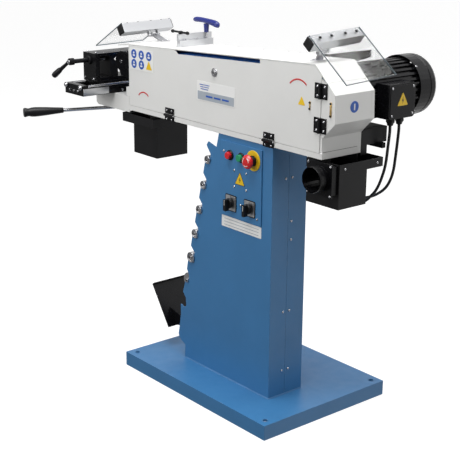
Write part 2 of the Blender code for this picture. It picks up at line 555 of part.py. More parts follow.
def make_roller_and_fork():
    front, back = -0.1105, -0.0055
    shaft_r, hole_r = 0.0060, 0.0063
    profile = [(0.0, front - 0.0045), (shaft_r, front - 0.0045), (shaft_r, front),
               (ROLLER_RADIUS - 0.001, front),
               (ROLLER_RADIUS, front + 0.001), (ROLLER_RADIUS, back - 0.001), (ROLLER_RADIUS - 0.001, back),
               (shaft_r, back), (shaft_r, back + 0.0045), (0.0, back + 0.0045)]
    piece("notching_roller", turned(profile, (ROLLER_X, AXIS_Z), "Y", 28), "bright_steel",
          (ROLLER_X, (front + back) / 2, AXIS_Z))

    cheek = [(-0.415, 0.905), (-0.415, 0.951), *arc((ROLLER_X, AXIS_Z), 0.0185, 90.0, 270.0, 18.0)]
    front_cheek = [(-0.415, 0.886), (-0.415, 0.962), (-0.505, 0.962), *arc((-0.505, AXIS_Z), 0.0300, 110.0,
                                                                           250.0, 20.0),
                   (-0.505, 0.886)]
    cross = box(-0.437, -0.415, -0.1140, 0.0000, 0.9135, 0.9425)
    runner = box(-0.470, -0.400, -0.0020, HEAD_BACK - SHEET - GAP, 0.9160, 0.9400)
    hole = cylinder((ROLLER_X, AXIS_Z), hole_r, -0.13, 0.03, "Y", 24)
    piece("roller_fork", prism(front_cheek, -0.1150, -0.1113), "black_paint", (ROLLER_X, 0.0, AXIS_Z),
          plus=[cross, prism(cheek, -0.0047, -0.0008), runner], minus=[hole])

    turns, steps, coil_r = 6, 12, 0.0100
    x0, x1 = -0.4132, -0.3318
    points = []
    for k in range(turns * steps + 1):
        angle = 2 * pi * k / steps
        points.append((x0 + (x1 - x0) * k / (turns * steps), -0.058 + coil_r * cos(angle),
                       0.930 + coil_r * sin(angle)))
    tube_piece("tension_spring", points, 0.0012, "bright_steel", 1)


# ---------------------------------------------------------------- motor
def make_motor():
    fins, root, base_y = 32, 0.0715, 0.0273
    outline = []
    for k in range(fins):
        for shift, radius in ((-0.30, root), (-0.22, MOTOR_RADIUS), (0.22, MOTOR_RADIUS), (0.30, root)):
            angle = 2 * pi * (k + shift) / fins
            outline.append((WHEEL_X + radius * cos(angle), AXIS_Z + radius * sin(angle)))
    flange = turned([(0.0, base_y), (0.080, base_y), (0.080, 0.037), (0.076, 0.041), (0.0, 0.041)],
                    (WHEEL_X, AXIS_Z), "Y", 40)
    core = turned([(0.0, base_y - 0.01), (0.0135, base_y - 0.01), (0.0135, 0.055), (0.0430, 0.055),
                   (0.0430, 0.205), (0.0135, 0.205), (0.0135, 0.26), (0.0, 0.26)], (WHEEL_X, AXIS_Z), "Y", 24)
    seat = box(BOX_SEAT_X, 0.45, 0.0737, 0.1723, 0.860, 0.970)
    lugs = []
    for k in range(4):
        lug = box(0.065, COWL_RADIUS - 0.0035, MOTOR_END - 0.008, MOTOR_END - 0.001, -0.005, 0.005)
        lug.transform(Matrix.Translation((WHEEL_X, 0.0, AXIS_Z)) @ Matrix.Rotation(pi / 4 + k * pi / 2, 4,
                                                                                   "Y"))
        lugs.append(lug)
    piece("motor_body", prism(outline, 0.040, MOTOR_END), "black_paint", plus=[flange, *lugs],
          minus=[core, seat])

    start, r = COWL_START, COWL_RADIUS
    cowl = [(r - 0.002, start), (r, start), (r, COWL_END - 0.031), (r - 0.0015, COWL_END - 0.029),
            (r, COWL_END - 0.027),
            (r - 0.001, COWL_END - 0.012), (r - 0.005, COWL_END - 0.004), (r - 0.011, COWL_END),
            (0.010, COWL_END),
            (0.010, COWL_END - 0.002), (r - 0.012, COWL_END - 0.002), (r - 0.006, COWL_END - 0.008),
            (r - 0.0035, COWL_END - 0.015), (r - 0.0035, COWL_END - 0.032)]
    slots = []
    for k in range(10):
        slot = box(0.020, 0.060, COWL_END - 0.01, COWL_END + 0.01, -0.0035, 0.0035)
        slot.transform(Matrix.Translation((WHEEL_X, 0.0, AXIS_Z)) @ Matrix.Rotation(2 * pi * k / 10, 4, "Y"))
        slots.append(slot)
    piece("fan_cowl", turned(cowl, (WHEEL_X, AXIS_Z), "Y", 40), "black_paint", minus=slots)


def make_motor_fittings():
    shell = box(BOX_SEAT_X + GAP, 0.441, 0.074, 0.172, 0.872, 0.963)
    piece("terminal_box", shell, "black_paint")

    collar = box(0.4145, 0.4335, 0.094, 0.151, 0.8680, 0.872 - GAP)
    necks = [turned([(0.0, 0.8505), (0.0070, 0.8505), (0.0085, 0.8530), (0.0085, 0.8690), (0.0, 0.8690)],
                    (0.424, y), "Z", 16) for y in (0.105, 0.140)]
    piece("motor_glands", collar, "black_plastic", plus=necks)

    face = COLUMN_BACK + GAP
    plate = box(0.095, 0.156, face, face + 0.004, 0.586, 0.614)
    necks = [turned([(0.0, face + 0.003), (0.0085, face + 0.003), (0.0085, face + 0.019),
                     (0.0070, face + 0.022),
                     (0.0, face + 0.022)], (x, 0.600), "Y", 16) for x in (0.110, 0.141)]
    piece("column_glands", plate, "black_plastic", plus=necks)

    y0 = HEAD_BACK + GAP
    plate = [(0.250, 0.812), (0.398, 0.812), (0.398, 0.985), (0.372, 1.008), (0.285, 1.012), (0.270, 1.027),
             (0.250, 1.027)]
    gusset = [(y0 + 0.001, 0.985), (0.190, 1.006), (0.190, 1.0265), (y0 + 0.001, 1.0265)]
    extras = [prism(gusset, 0.262, 0.266, "X"), box(0.300, 0.3985, y0, 0.122, 0.802, 0.8440),
              box(0.352, 0.4155, 0.088, 0.100, 0.790, 0.804), box(0.360, 0.3985, y0, 0.047, 0.7765, 0.804)]
    hole = cylinder((WHEEL_X, AXIS_Z), 0.030, y0 - 0.01, y0 + 0.01)
    piece("motor_bracket", prism(plate, y0, y0 + 0.0037), "dark_steel", plus=extras, minus=[hole])


CABLE_ROUTES = {
    "motor_cable_1": [
        (0.424, 0.105, 0.8502), (0.424, 0.105, 0.832), (0.421, 0.105, 0.800), (0.413, 0.105, 0.735),
        (0.391, 0.105, 0.676), (0.367, 0.104, 0.645), (0.345, 0.101, 0.626), (0.300, 0.097, 0.612),
        (0.250, 0.092, 0.608), (0.205, 0.086, 0.606), (0.170, 0.077, 0.604), (0.149, 0.063, 0.601),
        (0.141, 0.048, 0.600), (0.141, 0.0346, 0.600)],
    "motor_cable_2": [
        (0.424, 0.140, 0.8502), (0.424, 0.140, 0.830), (0.419, 0.140, 0.773), (0.411, 0.140, 0.714),
        (0.392, 0.140, 0.673), (0.362, 0.139, 0.646), (0.326, 0.137, 0.628), (0.280, 0.132, 0.616),
        (0.230, 0.122, 0.610), (0.180, 0.108, 0.607), (0.142, 0.090, 0.604), (0.118, 0.070, 0.601),
        (0.110, 0.050, 0.600), (0.110, 0.0346, 0.600)],
}


def make_cables():
    for name, route in CABLE_ROUTES.items():
        line = smooth_line(route, 2.5 * 2 * CABLE_RADIUS)
        tube_piece(name, line, CABLE_RADIUS, "black_plastic", 2)


# ---------------------------------------------------------------- controls
def make_controls():
    x0, x1, z0, z1 = PANEL
    holes = [cylinder(at, r, -0.13, -0.10, "Y", 20) for at, r in
             ((STOP_AT, 0.0110), (START_AT, 0.0110), (ESTOP_AT, 0.0110), (KNOBS_AT[0], 0.0060),
              (KNOBS_AT[1], 0.0060))]
    piece("control_panel", box(x0, x1, PANEL_FACE, COLUMN_FRONT - GAP, z0, z1), "column_blue", minus=holes)

    for name, at, look in (("stop_button", STOP_AT, "red_plastic"), ("start_button", START_AT,
                                                                     "green_plastic")):
        profile = [(0.0, -0.1325), (0.0092, -0.1325), (0.0102, -0.1315), (0.0102, -0.1100), (0.0, -0.1100)]
        piece(name, turned(profile, at, "Y", 20), look, (at[0], PANEL_FACE, at[1]))

    mushroom = [(0.0, -0.1490), (0.0120, -0.1482), (0.0175, -0.1460), (0.0200, -0.1420), (0.0200, -0.1385),
                (0.0190, -0.1370), (0.0100, -0.1362), (0.0100, -0.1100), (0.0, -0.1100)]
    piece("estop_button", turned(mushroom, ESTOP_AT, "Y", 28), "red_plastic",
          (ESTOP_AT[0], PANEL_FACE, ESTOP_AT[1]))

    for name, at in zip(("switch_knob_left", "switch_knob_right"), KNOBS_AT):
        x, z = at
        base = turned([(0.0, -0.1330), (0.0135, -0.1330), (0.0150, -0.1300), (0.0150, -0.1262),
                       (0.0055, -0.1262),
                       (0.0055, -0.1120), (0.0, -0.1120)], at, "Y", 20)
        handle = box(x - 0.0055, x + 0.0055, -0.1450, -0.1320, z - 0.0195, z + 0.0135)
        piece(name, base, "black_plastic", (x, PANEL_FACE, z), plus=[handle])


# ---------------------------------------------------------------- fittings on the top
def make_stop_bracket():
    x0, z0 = -0.262, head_top(-0.262) + GAP
    slant = HEAD_TAPER * 0.015
    outline = [(x0, z0), (x0 + 0.015, z0 + slant), (x0 + 0.015, z0 + 0.019), (x0 + 0.0065, z0 + 0.019),
               (x0 + 0.0065, z0 + 0.037), (x0, z0 + 0.037)]
    key_seat = cylinder((x0 + 0.0105, 0.023), 0.0030, z0 + 0.004, z0 + 0.05, "Z", 12)
    piece("stop_bracket", prism(outline, -0.080, 0.046), "aluminium", minus=[key_seat])

    top = z0 + 0.037 + GAP
    hub = turned([(0.0, top), (0.0070, top), (0.0070, top + 0.007), (0.0045, top + 0.009),
                  (0.0, top + 0.009)],
                 (x0 + 0.0032, -0.068), "Z", 16)
    wings = rod((x0 - 0.036, -0.068, top + 0.0050), (x0 + 0.036, -0.068, top + 0.0050), 0.0032)
    piece("wing_lever", hub, "black_plastic", (x0 + 0.0032, -0.068, top), plus=[wings])

    key_x, key_y = x0 + 0.0105, 0.023
    shank = cylinder((key_x, key_y), 0.0026, z0 + 0.0045, z0 + 0.060, "Z", 6)
    neck = turned([(0.0, z0 + 0.037), (0.0075, z0 + 0.037), (0.0085, z0 + 0.062), (0.0, z0 + 0.062)],
                  (key_x, key_y), "Z", 16)
    grip_line = [(-0.058, 0.066), (-0.046, 0.061), (0.0, 0.060), (0.036, 0.059), (0.056, 0.052),
                 (0.062, 0.058),
                 (0.060, 0.072), (0.050, 0.0775), (0.020, 0.0775), (-0.020, 0.0775), (-0.052, 0.0775),
                 (-0.060, 0.073)]
    grip = prism([(key_x + x, z0 + z) for x, z in grip_line], key_y - 0.009, key_y + 0.009)
    piece("hex_key", shank, "key_blue", (key_x, key_y, z0), plus=[neck, grip])


def make_shield(side, spec, foot_x, arm_y):
    """Square bar on a hinged arm, with a clear pane lying on its upper outer face."""
    (bar_x, bar_z), twist, pivot, front, back, width, lean = spec
    half, out = SHIELD_BAR_SIDE / 2, 1.0 if side == "right" else -1.0
    turn = radians(twist)
    bar = Vector((bar_x, bar_z))
    across = Vector((cos(turn), sin(turn)))            # one face's normal; the other is square to it
    along = Vector((-across.y, across.x))
    corners = [bar + across * half * a + along * half * b for a, b in ((1, 1), (-1, 1), (-1, -1), (1, -1))]
    normal, down = (across, -along) if side == "right" else (along, -across)
    at = (pivot[0], arm_y, pivot[1])
    climb = Matrix.Translation(at) @ Matrix.Rotation(radians(lean), 4, "X") @ Matrix.Translation(-Vector(at))

    def leaning(mesh):
        mesh.transform(climb)
        return mesh

    ears = []
    for y0, y1 in ((arm_y - 0.0185, arm_y - 0.0145), (arm_y + 0.0145, arm_y + 0.0185)):
        ear = [(pivot[0] - 0.006, pivot[1] - 0.004), (pivot[0] + 0.006, pivot[1] - 0.004),
               (bar_x + 0.006, bar_z), (bar_x - 0.006, bar_z)]
        ears.append(leaning(prism(ear, y0, y1)))
    piece(f"shield_bar_{side}", leaning(prism(corners, front, back)), "aluminium", at, plus=ears)

    start = bar + normal * (half + GAP) - down * (half - 0.001)
    pane = [start, start + down * width, start + down * width + normal * PANE_THICKNESS,
            start + normal * PANE_THICKNESS]
    piece(f"shield_pane_{side}", leaning(prism(pane, front + 0.001, back - 0.001)), "clear_pane", at)

    floor_z = head_top(foot_x)
    slope = HEAD_TAPER * 0.015
    foot = [(foot_x - 0.015, floor_z - slope + GAP), (foot_x + 0.015, floor_z + slope + GAP),
            (foot_x + 0.015, floor_z + slope + 0.0035), (foot_x - 0.015, floor_z - slope + 0.0035)]
    knee = (foot_x + out * 0.004, floor_z + 0.0025)
    run = [(knee[0], knee[1] - 0.001), pivot]
    strut = chain(run if side == "right" else run[::-1], 0.0035)
    knuckle = leaning(cylinder(pivot, 0.0050, arm_y - 0.0142, arm_y + 0.0142, "Y", 16))
    piece(f"shield_arm_{side}", prism(foot, arm_y - 0.0142, arm_y + 0.0142), "bright_steel",
          plus=[prism(strut, arm_y - 0.0130, arm_y + 0.0130), knuckle])


# ---------------------------------------------------------------- vise and feed
def make_slide():
    x0, x1, y0, y1, z0, z1 = SLIDE_BOX
    well = box(x0 + 0.018, x1 - 0.0175, y0 + 0.020, y1 - 0.020, z0 + 0.009, z1 + 0.01)
    reliefs = [box(x0 + 0.0030, x0 + 0.0190, y0 + 0.020, y1 - 0.020, z0 + 0.012, z1 + 0.01),
               box(x1 - 0.0190, x1 - 0.0030, y0 + 0.020, y1 - 0.020, z0 + 0.012, z1 + 0.01),
               box(x1 - 0.0190, x1 + 0.01, y0 + 0.020, y1 - 0.020, GUIDE_BAR_Z - 0.004, z1 + 0.01)]
    bores = [cylinder((x, GUIDE_BAR_Z), GUIDE_BAR_RADIUS + GAP, y0 - 0.01, y1 + 0.01, "Y",
                      20) for x in GUIDE_BARS_X]
    piece("slide_base", box(x0, x1, y0, y1, z0, z1), "black_paint", (x0, y0, z0),
          minus=[well, *reliefs, *bores])
    for name, x in zip(("guide_bar_left", "guide_bar_right"), GUIDE_BARS_X):
        piece(name, cylinder((x, GUIDE_BAR_Z), GUIDE_BAR_RADIUS, y0 - 0.003, y1 + 0.003, "Y", 20),
              "bright_steel")


def make_vise():
    x0, x1, y0, y1, z0, z1 = VISE_BOX
    mid = (x0 + x1) / 2
    throat = box(x0 - 0.01, x1 + 0.01, y0 + 0.016, y1 - 0.016, z0 + 0.012, z1 - 0.008)
    carriage = box(GUIDE_BARS_X[0] + 0.0002, GUIDE_BARS_X[1] - 0.0002, -0.165, -0.035, 0.8420, z0 + 0.002)
    bores = [cylinder((x, GUIDE_BAR_Z), GUIDE_BAR_RADIUS + GAP, -0.18, -0.02, "Y", 20) for x in GUIDE_BARS_X]
    fixed_jaw = [(y1 - 0.018, z0 + 0.010), (y1 - 0.018, z1 - 0.006), (-0.025, z1 - 0.006),
                 (-0.025, AXIS_Z + 0.014),
                 (-0.011, AXIS_Z), (-0.025, AXIS_Z - 0.014), (-0.025, z0 + 0.010)]
    screw_bore = cylinder((VISE_SCREW_X, 0.930), 0.0073, y0 - 0.01, y0 + 0.03, "Y", 20)
    piece("vise_body", box(x0, x1, y0, y1, z0, z1), "black_paint", (mid, y0, z0),
          plus=[carriage], minus=[throat, *bores, screw_bore])
    add_block("vise_body", "fixed_jaw", prism(fixed_jaw, x0 + 0.004, x1 - 0.004, "X"))

    z_low, z_high = z0 + 0.012 + GAP, z1 - 0.008 - GAP
    jaw = [(-0.1200, z_low), (-0.0910, z_low), (-0.0910, AXIS_Z - 0.014), (-0.1050, AXIS_Z),
           (-0.0910, AXIS_Z + 0.014),
           (-0.0910, z_high), (-0.1200, z_high)]
    piece("vise_jaw", prism(jaw, x0 + 0.004, x1 - 0.004, "X"), "dark_steel", (mid, -0.120, z_low))

    axis = (VISE_SCREW_X, 0.930)
    spindle = turned([(0.0, -0.2520), (0.0095, -0.2520), (0.0110, -0.2500), (0.0110, -0.2360),
                      (0.0070, -0.2340),
                      (0.0070, -0.1203), (0.0, -0.1203)], axis, "Y", 20)
    knee = (axis[0] - 0.017, -0.247, axis[1] - 0.005)
    tip = (axis[0] - 0.069, -0.264, axis[1] - 0.049)
    lever = [rod((axis[0], -0.244, axis[1]), knee, 0.0055), rod((knee[0] + 0.003, knee[1], knee[2]), tip,
                                                                0.0050, 0.0078)]
    piece("clamp_screw", spindle, "black_paint", (axis[0], -0.120, axis[1]), plus=lever)


def add_block(name, label, mesh):
    """One more solid joined to a piece after its cuts."""
    change = bpy.data.objects[name].modifiers.new(label, "BOOLEAN")
    change.operation = "UNION"
    change.solver = "EXACT"
    change.object = helper(f"{name}_{label}", mesh)


def make_feed_lever():
    pivot, end, z = Vector(FEED_PIVOT), Vector(FEED_GRIP_END), FEED_LEVER_Z
    reach = (end - pivot).length
    out = (end - pivot) / reach

    def at(distance):
        spot = pivot + out * distance
        return (spot.x, spot.y, z)

    hub = turned([(0.0, 0.7580), (0.0150, 0.7580), (0.0160, 0.7590), (0.0160, 0.7755), (0.0070, 0.7765),
                  (0.0070, ARM_TOP - SHEET - 0.0005), (0.0, ARM_TOP - SHEET - 0.0005)], tuple(pivot), "Z", 20)
    arm = rod(at(0.008), at(reach - 0.110), 0.0058)
    grip = rod(at(reach - 0.125), at(reach), 0.0100, 0.0148, 20)
    piece("feed_lever", hub, "black_plastic", (*FEED_PIVOT, z), plus=[arm, grip])


# ---------------------------------------------------------------- dust collection
def make_hopper(name, tray, bin_box, hooks, extra_cuts=()):
    """Open sheet-metal bin under a wider tray; hooks are the strips that hang it from the housing."""
    wall = 0.002
    x0, x1, y0, y1, z0, z1 = tray
    tray_hollow = box(x0 + wall, x1 - wall, y0 + wall, y1 - wall, z0 + wall, z1 + 0.02)
    bx0, bx1, by0, by1, bz0, bz1 = bin_box
    bin_hollow = box(bx0 + wall, bx1 - wall, by0 + wall, by1 - wall, bz0 + wall, z1 + 0.02)
    part = piece(name, box(*tray), "dark_steel", (x0, y0, z1), plus=[box(*bin_box)],
                 minus=[tray_hollow, bin_hollow, *extra_cuts])
    for k, hook in enumerate(hooks):
        add_block(name, f"hook_{k}", box(*hook))
    return part


def make_dust_parts():
    y0, y1 = -0.117, 0.056
    make_hopper("left_hopper", (-0.498, -0.335, y0, y1, 0.744, 0.771), (-0.462, -0.340, -0.100, 0.018,
                                                                        0.647, 0.746),
                [(-0.4620, -0.4500, y0, y1, 0.7450, 0.7480), (-0.4560, -0.4530, y0, y1, 0.7470, 0.7765),
                 (-0.3480, -0.3370, y0, y1, 0.7440, 0.7470), (-0.3480, -0.3450, y0, y1, 0.7440, 0.7845)])
    port_x, port_z = 0.394, 0.736
    duct = cylinder((port_x, port_z), 0.0316, -0.16, -0.08, "Y", 28)
    make_hopper("right_hopper", (0.318, 0.4405, -0.095, 0.066, 0.750, 0.774),
                (0.320, 0.4400, -0.095, 0.007, 0.656, 0.752),
                [(0.330, 0.4020, -0.0935, -0.0900, 0.7500, 0.7845), (0.330, 0.4020, 0.0060, 0.0090, 0.7500,
                                                                     0.7845)],
                [duct])
    block = box(0.354, 0.434, -0.1175, -0.0953, 0.696, 0.771)
    flange = box(0.349, 0.439, -0.1203, -0.1172, 0.691, 0.779)
    pipe = cylinder((port_x, port_z), 0.0336, -0.150, -0.1190, "Y", 28)
    bore = cylinder((port_x, port_z), 0.0316, -0.16, -0.08, "Y", 28)
    piece("exhaust_port", block, "black_paint", plus=[flange, pipe], minus=[bore])


# ---------------------------------------------------------------- build
make_base()
make_column()
make_stored_rollers()
make_tool_tray()
make_head_frame()
make_front_door()
make_end_door()
make_top_lid()
make_hinges()
make_belt()
make_platen()
make_drive_wheel()
make_roller_and_fork()
make_motor()
make_motor_fittings()
make_cables()
make_controls()
make_stop_bracket()
make_shield("left", LEFT_SHIELD, -0.430, -0.004)
make_shield("right", RIGHT_SHIELD, 0.318, -0.064)
make_slide()
make_vise()
make_feed_lever()
make_dust_parts()
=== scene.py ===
"""Looks of the pipe-notching belt grinder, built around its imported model.

Places are metres from the middle of the foot plate's underside: X along the belt, Y away from the
operator, Z up. P(x, y, z) turns such a place into the frame's own coordinates.
"""
import json
from math import atan2, ceil, cos, pi, radians, sin

import bmesh
import bpy
from mathutils import Matrix, Vector


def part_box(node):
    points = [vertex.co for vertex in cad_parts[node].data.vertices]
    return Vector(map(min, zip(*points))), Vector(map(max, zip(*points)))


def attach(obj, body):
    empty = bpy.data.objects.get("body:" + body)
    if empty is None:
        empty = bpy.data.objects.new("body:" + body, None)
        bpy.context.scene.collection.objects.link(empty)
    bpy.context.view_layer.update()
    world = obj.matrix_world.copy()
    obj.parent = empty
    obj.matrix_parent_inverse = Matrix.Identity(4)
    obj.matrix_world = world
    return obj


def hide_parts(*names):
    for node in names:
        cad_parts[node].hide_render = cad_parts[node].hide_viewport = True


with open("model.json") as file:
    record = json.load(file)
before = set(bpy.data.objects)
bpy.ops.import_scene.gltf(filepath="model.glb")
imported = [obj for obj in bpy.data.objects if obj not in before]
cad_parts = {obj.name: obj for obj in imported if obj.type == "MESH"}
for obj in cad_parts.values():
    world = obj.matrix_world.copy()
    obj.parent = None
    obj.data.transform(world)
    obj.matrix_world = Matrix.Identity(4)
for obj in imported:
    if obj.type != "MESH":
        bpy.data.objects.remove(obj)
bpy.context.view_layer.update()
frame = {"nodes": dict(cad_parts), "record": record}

NODES = frame["nodes"]
FOOT_LOW, FOOT_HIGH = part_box("base_plate")
ORIGIN = Vector(((FOOT_LOW.x + FOOT_HIGH.x) / 2, (FOOT_LOW.y + FOOT_HIGH.y) / 2, 0.0))
FRONT, BACK, RIGHT, LEFT, UP = (Vector(v) for v in ((0, -1, 0), (0, 1, 0), (1, 0, 0), (-1, 0, 0), (0, 0, 1)))
HEAD_FRONT, PANEL_FACE, COLUMN_FACE = -0.119, -0.1193, -0.116      # y of the faces towards the operator
TOP_SLOPE = 0.045                # rise of the housing's top sheet per metre of X
SINK = 0.0001                    # how far a fitted detail stands in the face that carries it


def P(x, y, z):
    """Frame coordinates of a place given from the middle of the foot plate."""
    return ORIGIN + Vector((x, y, z))


def head_top(x):
    """Height of the housing's sloping top sheet."""
    return 0.989 + TOP_SLOPE * (x + 0.456)


# ---------------------------------------------------------------- cable routes
CABLE_ROUTES = {
    "motor_cable_1": [
        (0.424, 0.105, 0.8502), (0.424, 0.105, 0.832), (0.421, 0.105, 0.800), (0.413, 0.105, 0.735),
        (0.391, 0.105, 0.676), (0.367, 0.104, 0.645), (0.345, 0.101, 0.626), (0.300, 0.097, 0.612),
        (0.250, 0.092, 0.608), (0.205, 0.086, 0.606), (0.170, 0.077, 0.604), (0.149, 0.063, 0.601),
        (0.141, 0.048, 0.600), (0.141, 0.0346, 0.600)],
    "motor_cable_2": [
        (0.424, 0.140, 0.8502), (0.424, 0.140, 0.830), (0.419, 0.140, 0.773), (0.411, 0.140, 0.714),
        (0.392, 0.140, 0.673), (0.362, 0.139, 0.646), (0.326, 0.137, 0.628), (0.280, 0.132, 0.616),
        (0.230, 0.122, 0.610), (0.180, 0.108, 0.607), (0.142, 0.090, 0.604), (0.118, 0.070, 0.601),
        (0.110, 0.050, 0.600), (0.110, 0.0346, 0.600)],
}
CABLE_RADIUS = 0.004


# ---------------------------------------------------------------- camera
def make_camera():
    """Camera at the operator's right, a little above the table of the machine."""
    azimuth, elevation, roll = radians(50.117), radians(17.003), radians(0.474)
    ahead = Vector((-sin(azimuth) * cos(elevation), cos(azimuth) * cos(elevation), -sin(elevation)))
    right = Vector((cos(azimuth), sin(azimuth), 0.0))
    up = right.cross(ahead)
    rolled_right, rolled_up = right * cos(roll) + up * sin(roll), up * cos(roll) - right * sin(roll)
    data = bpy.data.cameras.new("camera")
    data.lens, data.sensor_width = 87.25, 36.0
    camera = bpy.data.objects.new("camera", data)
    place = Matrix((rolled_right, rolled_up, -ahead)).transposed().to_4x4()
    place.translation = P(2.3784, -2.0762, 1.4447)
    camera.matrix_world = place
    bpy.context.scene.collection.objects.link(camera)
    bpy.context.scene.camera = camera


# ---------------------------------------------------------------- materials
class Nodes:
    """Small helper around one material's node tree."""

    def __init__(self, name):
        self.material = bpy.data.materials.new(name)
        self.material.use_nodes = True
        self.tree = self.material.node_tree
        self.shader = self.tree.nodes["Principled BSDF"]

    def add(self, kind, **values):
        node = self.tree.nodes.new(kind)
        for key, value in values.items():
            if key in node.inputs:
                node.inputs[key].default_value = value
            else:
                setattr(node, key.lower(), value)
        return node

    def link(self, source, target):
        self.tree.links.new(source, target)


def coordinates(nodes, stretch=(1.0, 1.0, 1.0)):
    """Object coordinates, stretched for a drawn-out grain."""
    texture = nodes.add("ShaderNodeTexCoord")
    mapping = nodes.add("ShaderNodeMapping", Scale=stretch)
    nodes.link(texture.outputs["Object"], mapping.inputs["Vector"])
    return mapping.outputs["Vector"]


def noise(nodes, vector, scale, detail=4.0):
    """Value of a noise pattern."""
    texture = nodes.add("ShaderNodeTexNoise", Scale=scale, Detail=detail)
    nodes.link(vector, texture.inputs["Vector"])
    return texture.outputs["Fac"]


def spread(nodes, value, low, high, start=0.3, end=0.7):
    """Maps a noise value from start..end onto low..high."""
    scale = nodes.add("ShaderNodeMapRange")
    for key, number in (("From Min", start), ("From Max", end), ("To Min", low), ("To Max", high)):
        scale.inputs[key].default_value = number
    nodes.link(value, scale.inputs["Value"])
    return scale.outputs["Result"]


def mixed(nodes, factor, first, second):
    """Mix of two colours, each a plain colour or another node's output."""
    mix = nodes.add("ShaderNodeMix", data_type="RGBA")
    nodes.link(factor, mix.inputs[0])
    for socket, colour in ((mix.inputs[6], first), (mix.inputs[7], second)):
        if isinstance(colour, tuple):
            socket.default_value = (*colour, 1.0)
        else:
            nodes.link(colour, socket)
    return mix.outputs[2]


def surface(name, colour, roughness, metallic=0.0, grain=(900.0, 0.12), vary=0.06, cloud=7.0, worn=None,
            stretch=(1.0, 1.0, 1.0), edge=0.0010, rough_spread=0.06, specks=None, **sockets):
    """Procedural finish: cloudy colour, fine bump, roughness that wanders, softened and worn edges."""
    nodes = Nodes(name)
    vector = coordinates(nodes, stretch)
    light = tuple(min(1.0, c * (1 + vary)) for c in colour)
    dark = tuple(c * (1 - vary) for c in colour)
    base = mixed(nodes, spread(nodes, noise(nodes, vector, cloud), 0.0, 1.0), dark, light)
    if specks:
        speck_colour, speck_scale, share = specks
        dots = spread(nodes, noise(nodes, vector, speck_scale, 2.0), 0.0, 1.0, 0.62 - share, 0.68 - share)
        base = mixed(nodes, dots, base, speck_colour)
    bevel = nodes.add("ShaderNodeBevel", samples=4, Radius=edge)
    rough = spread(nodes, noise(nodes, vector, 35.0), roughness - rough_spread, roughness + rough_spread)
    if worn:
        flat = nodes.add("ShaderNodeNewGeometry")
        match = nodes.add("ShaderNodeVectorMath", operation="DOT_PRODUCT")
        nodes.link(bevel.outputs["Normal"], match.inputs[0])
        nodes.link(flat.outputs["Normal"], match.inputs[1])
        rim = spread(nodes, match.outputs["Value"], 1.0, 0.0, 0.86, 0.985)
        patchy = spread(nodes, noise(nodes, vector, 55.0, 6.0), 0.0, 0.8, 0.50, 0.66)
        rubbed = nodes.add("ShaderNodeMath", operation="MULTIPLY")
        nodes.link(rim, rubbed.inputs[0])
        nodes.link(patchy, rubbed.inputs[1])
        base = mixed(nodes, rubbed.outputs["Value"], base, worn)
    nodes.link(base, nodes.shader.inputs["Base Color"])
    nodes.link(rough, nodes.shader.inputs["Roughness"])
    bump = nodes.add("ShaderNodeBump", Strength=grain[1], Distance=0.0004)
    nodes.link(noise(nodes, vector, grain[0], 3.0), bump.inputs["Height"])
    nodes.link(bevel.outputs["Normal"], bump.inputs["Normal"])
    nodes.link(bump.outputs["Normal"], nodes.shader.inputs["Normal"])
    nodes.shader.inputs["Metallic"].default_value = metallic
    for key, value in sockets.items():
        nodes.shader.inputs[key.replace("_", " ")].default_value = value
    return nodes.material


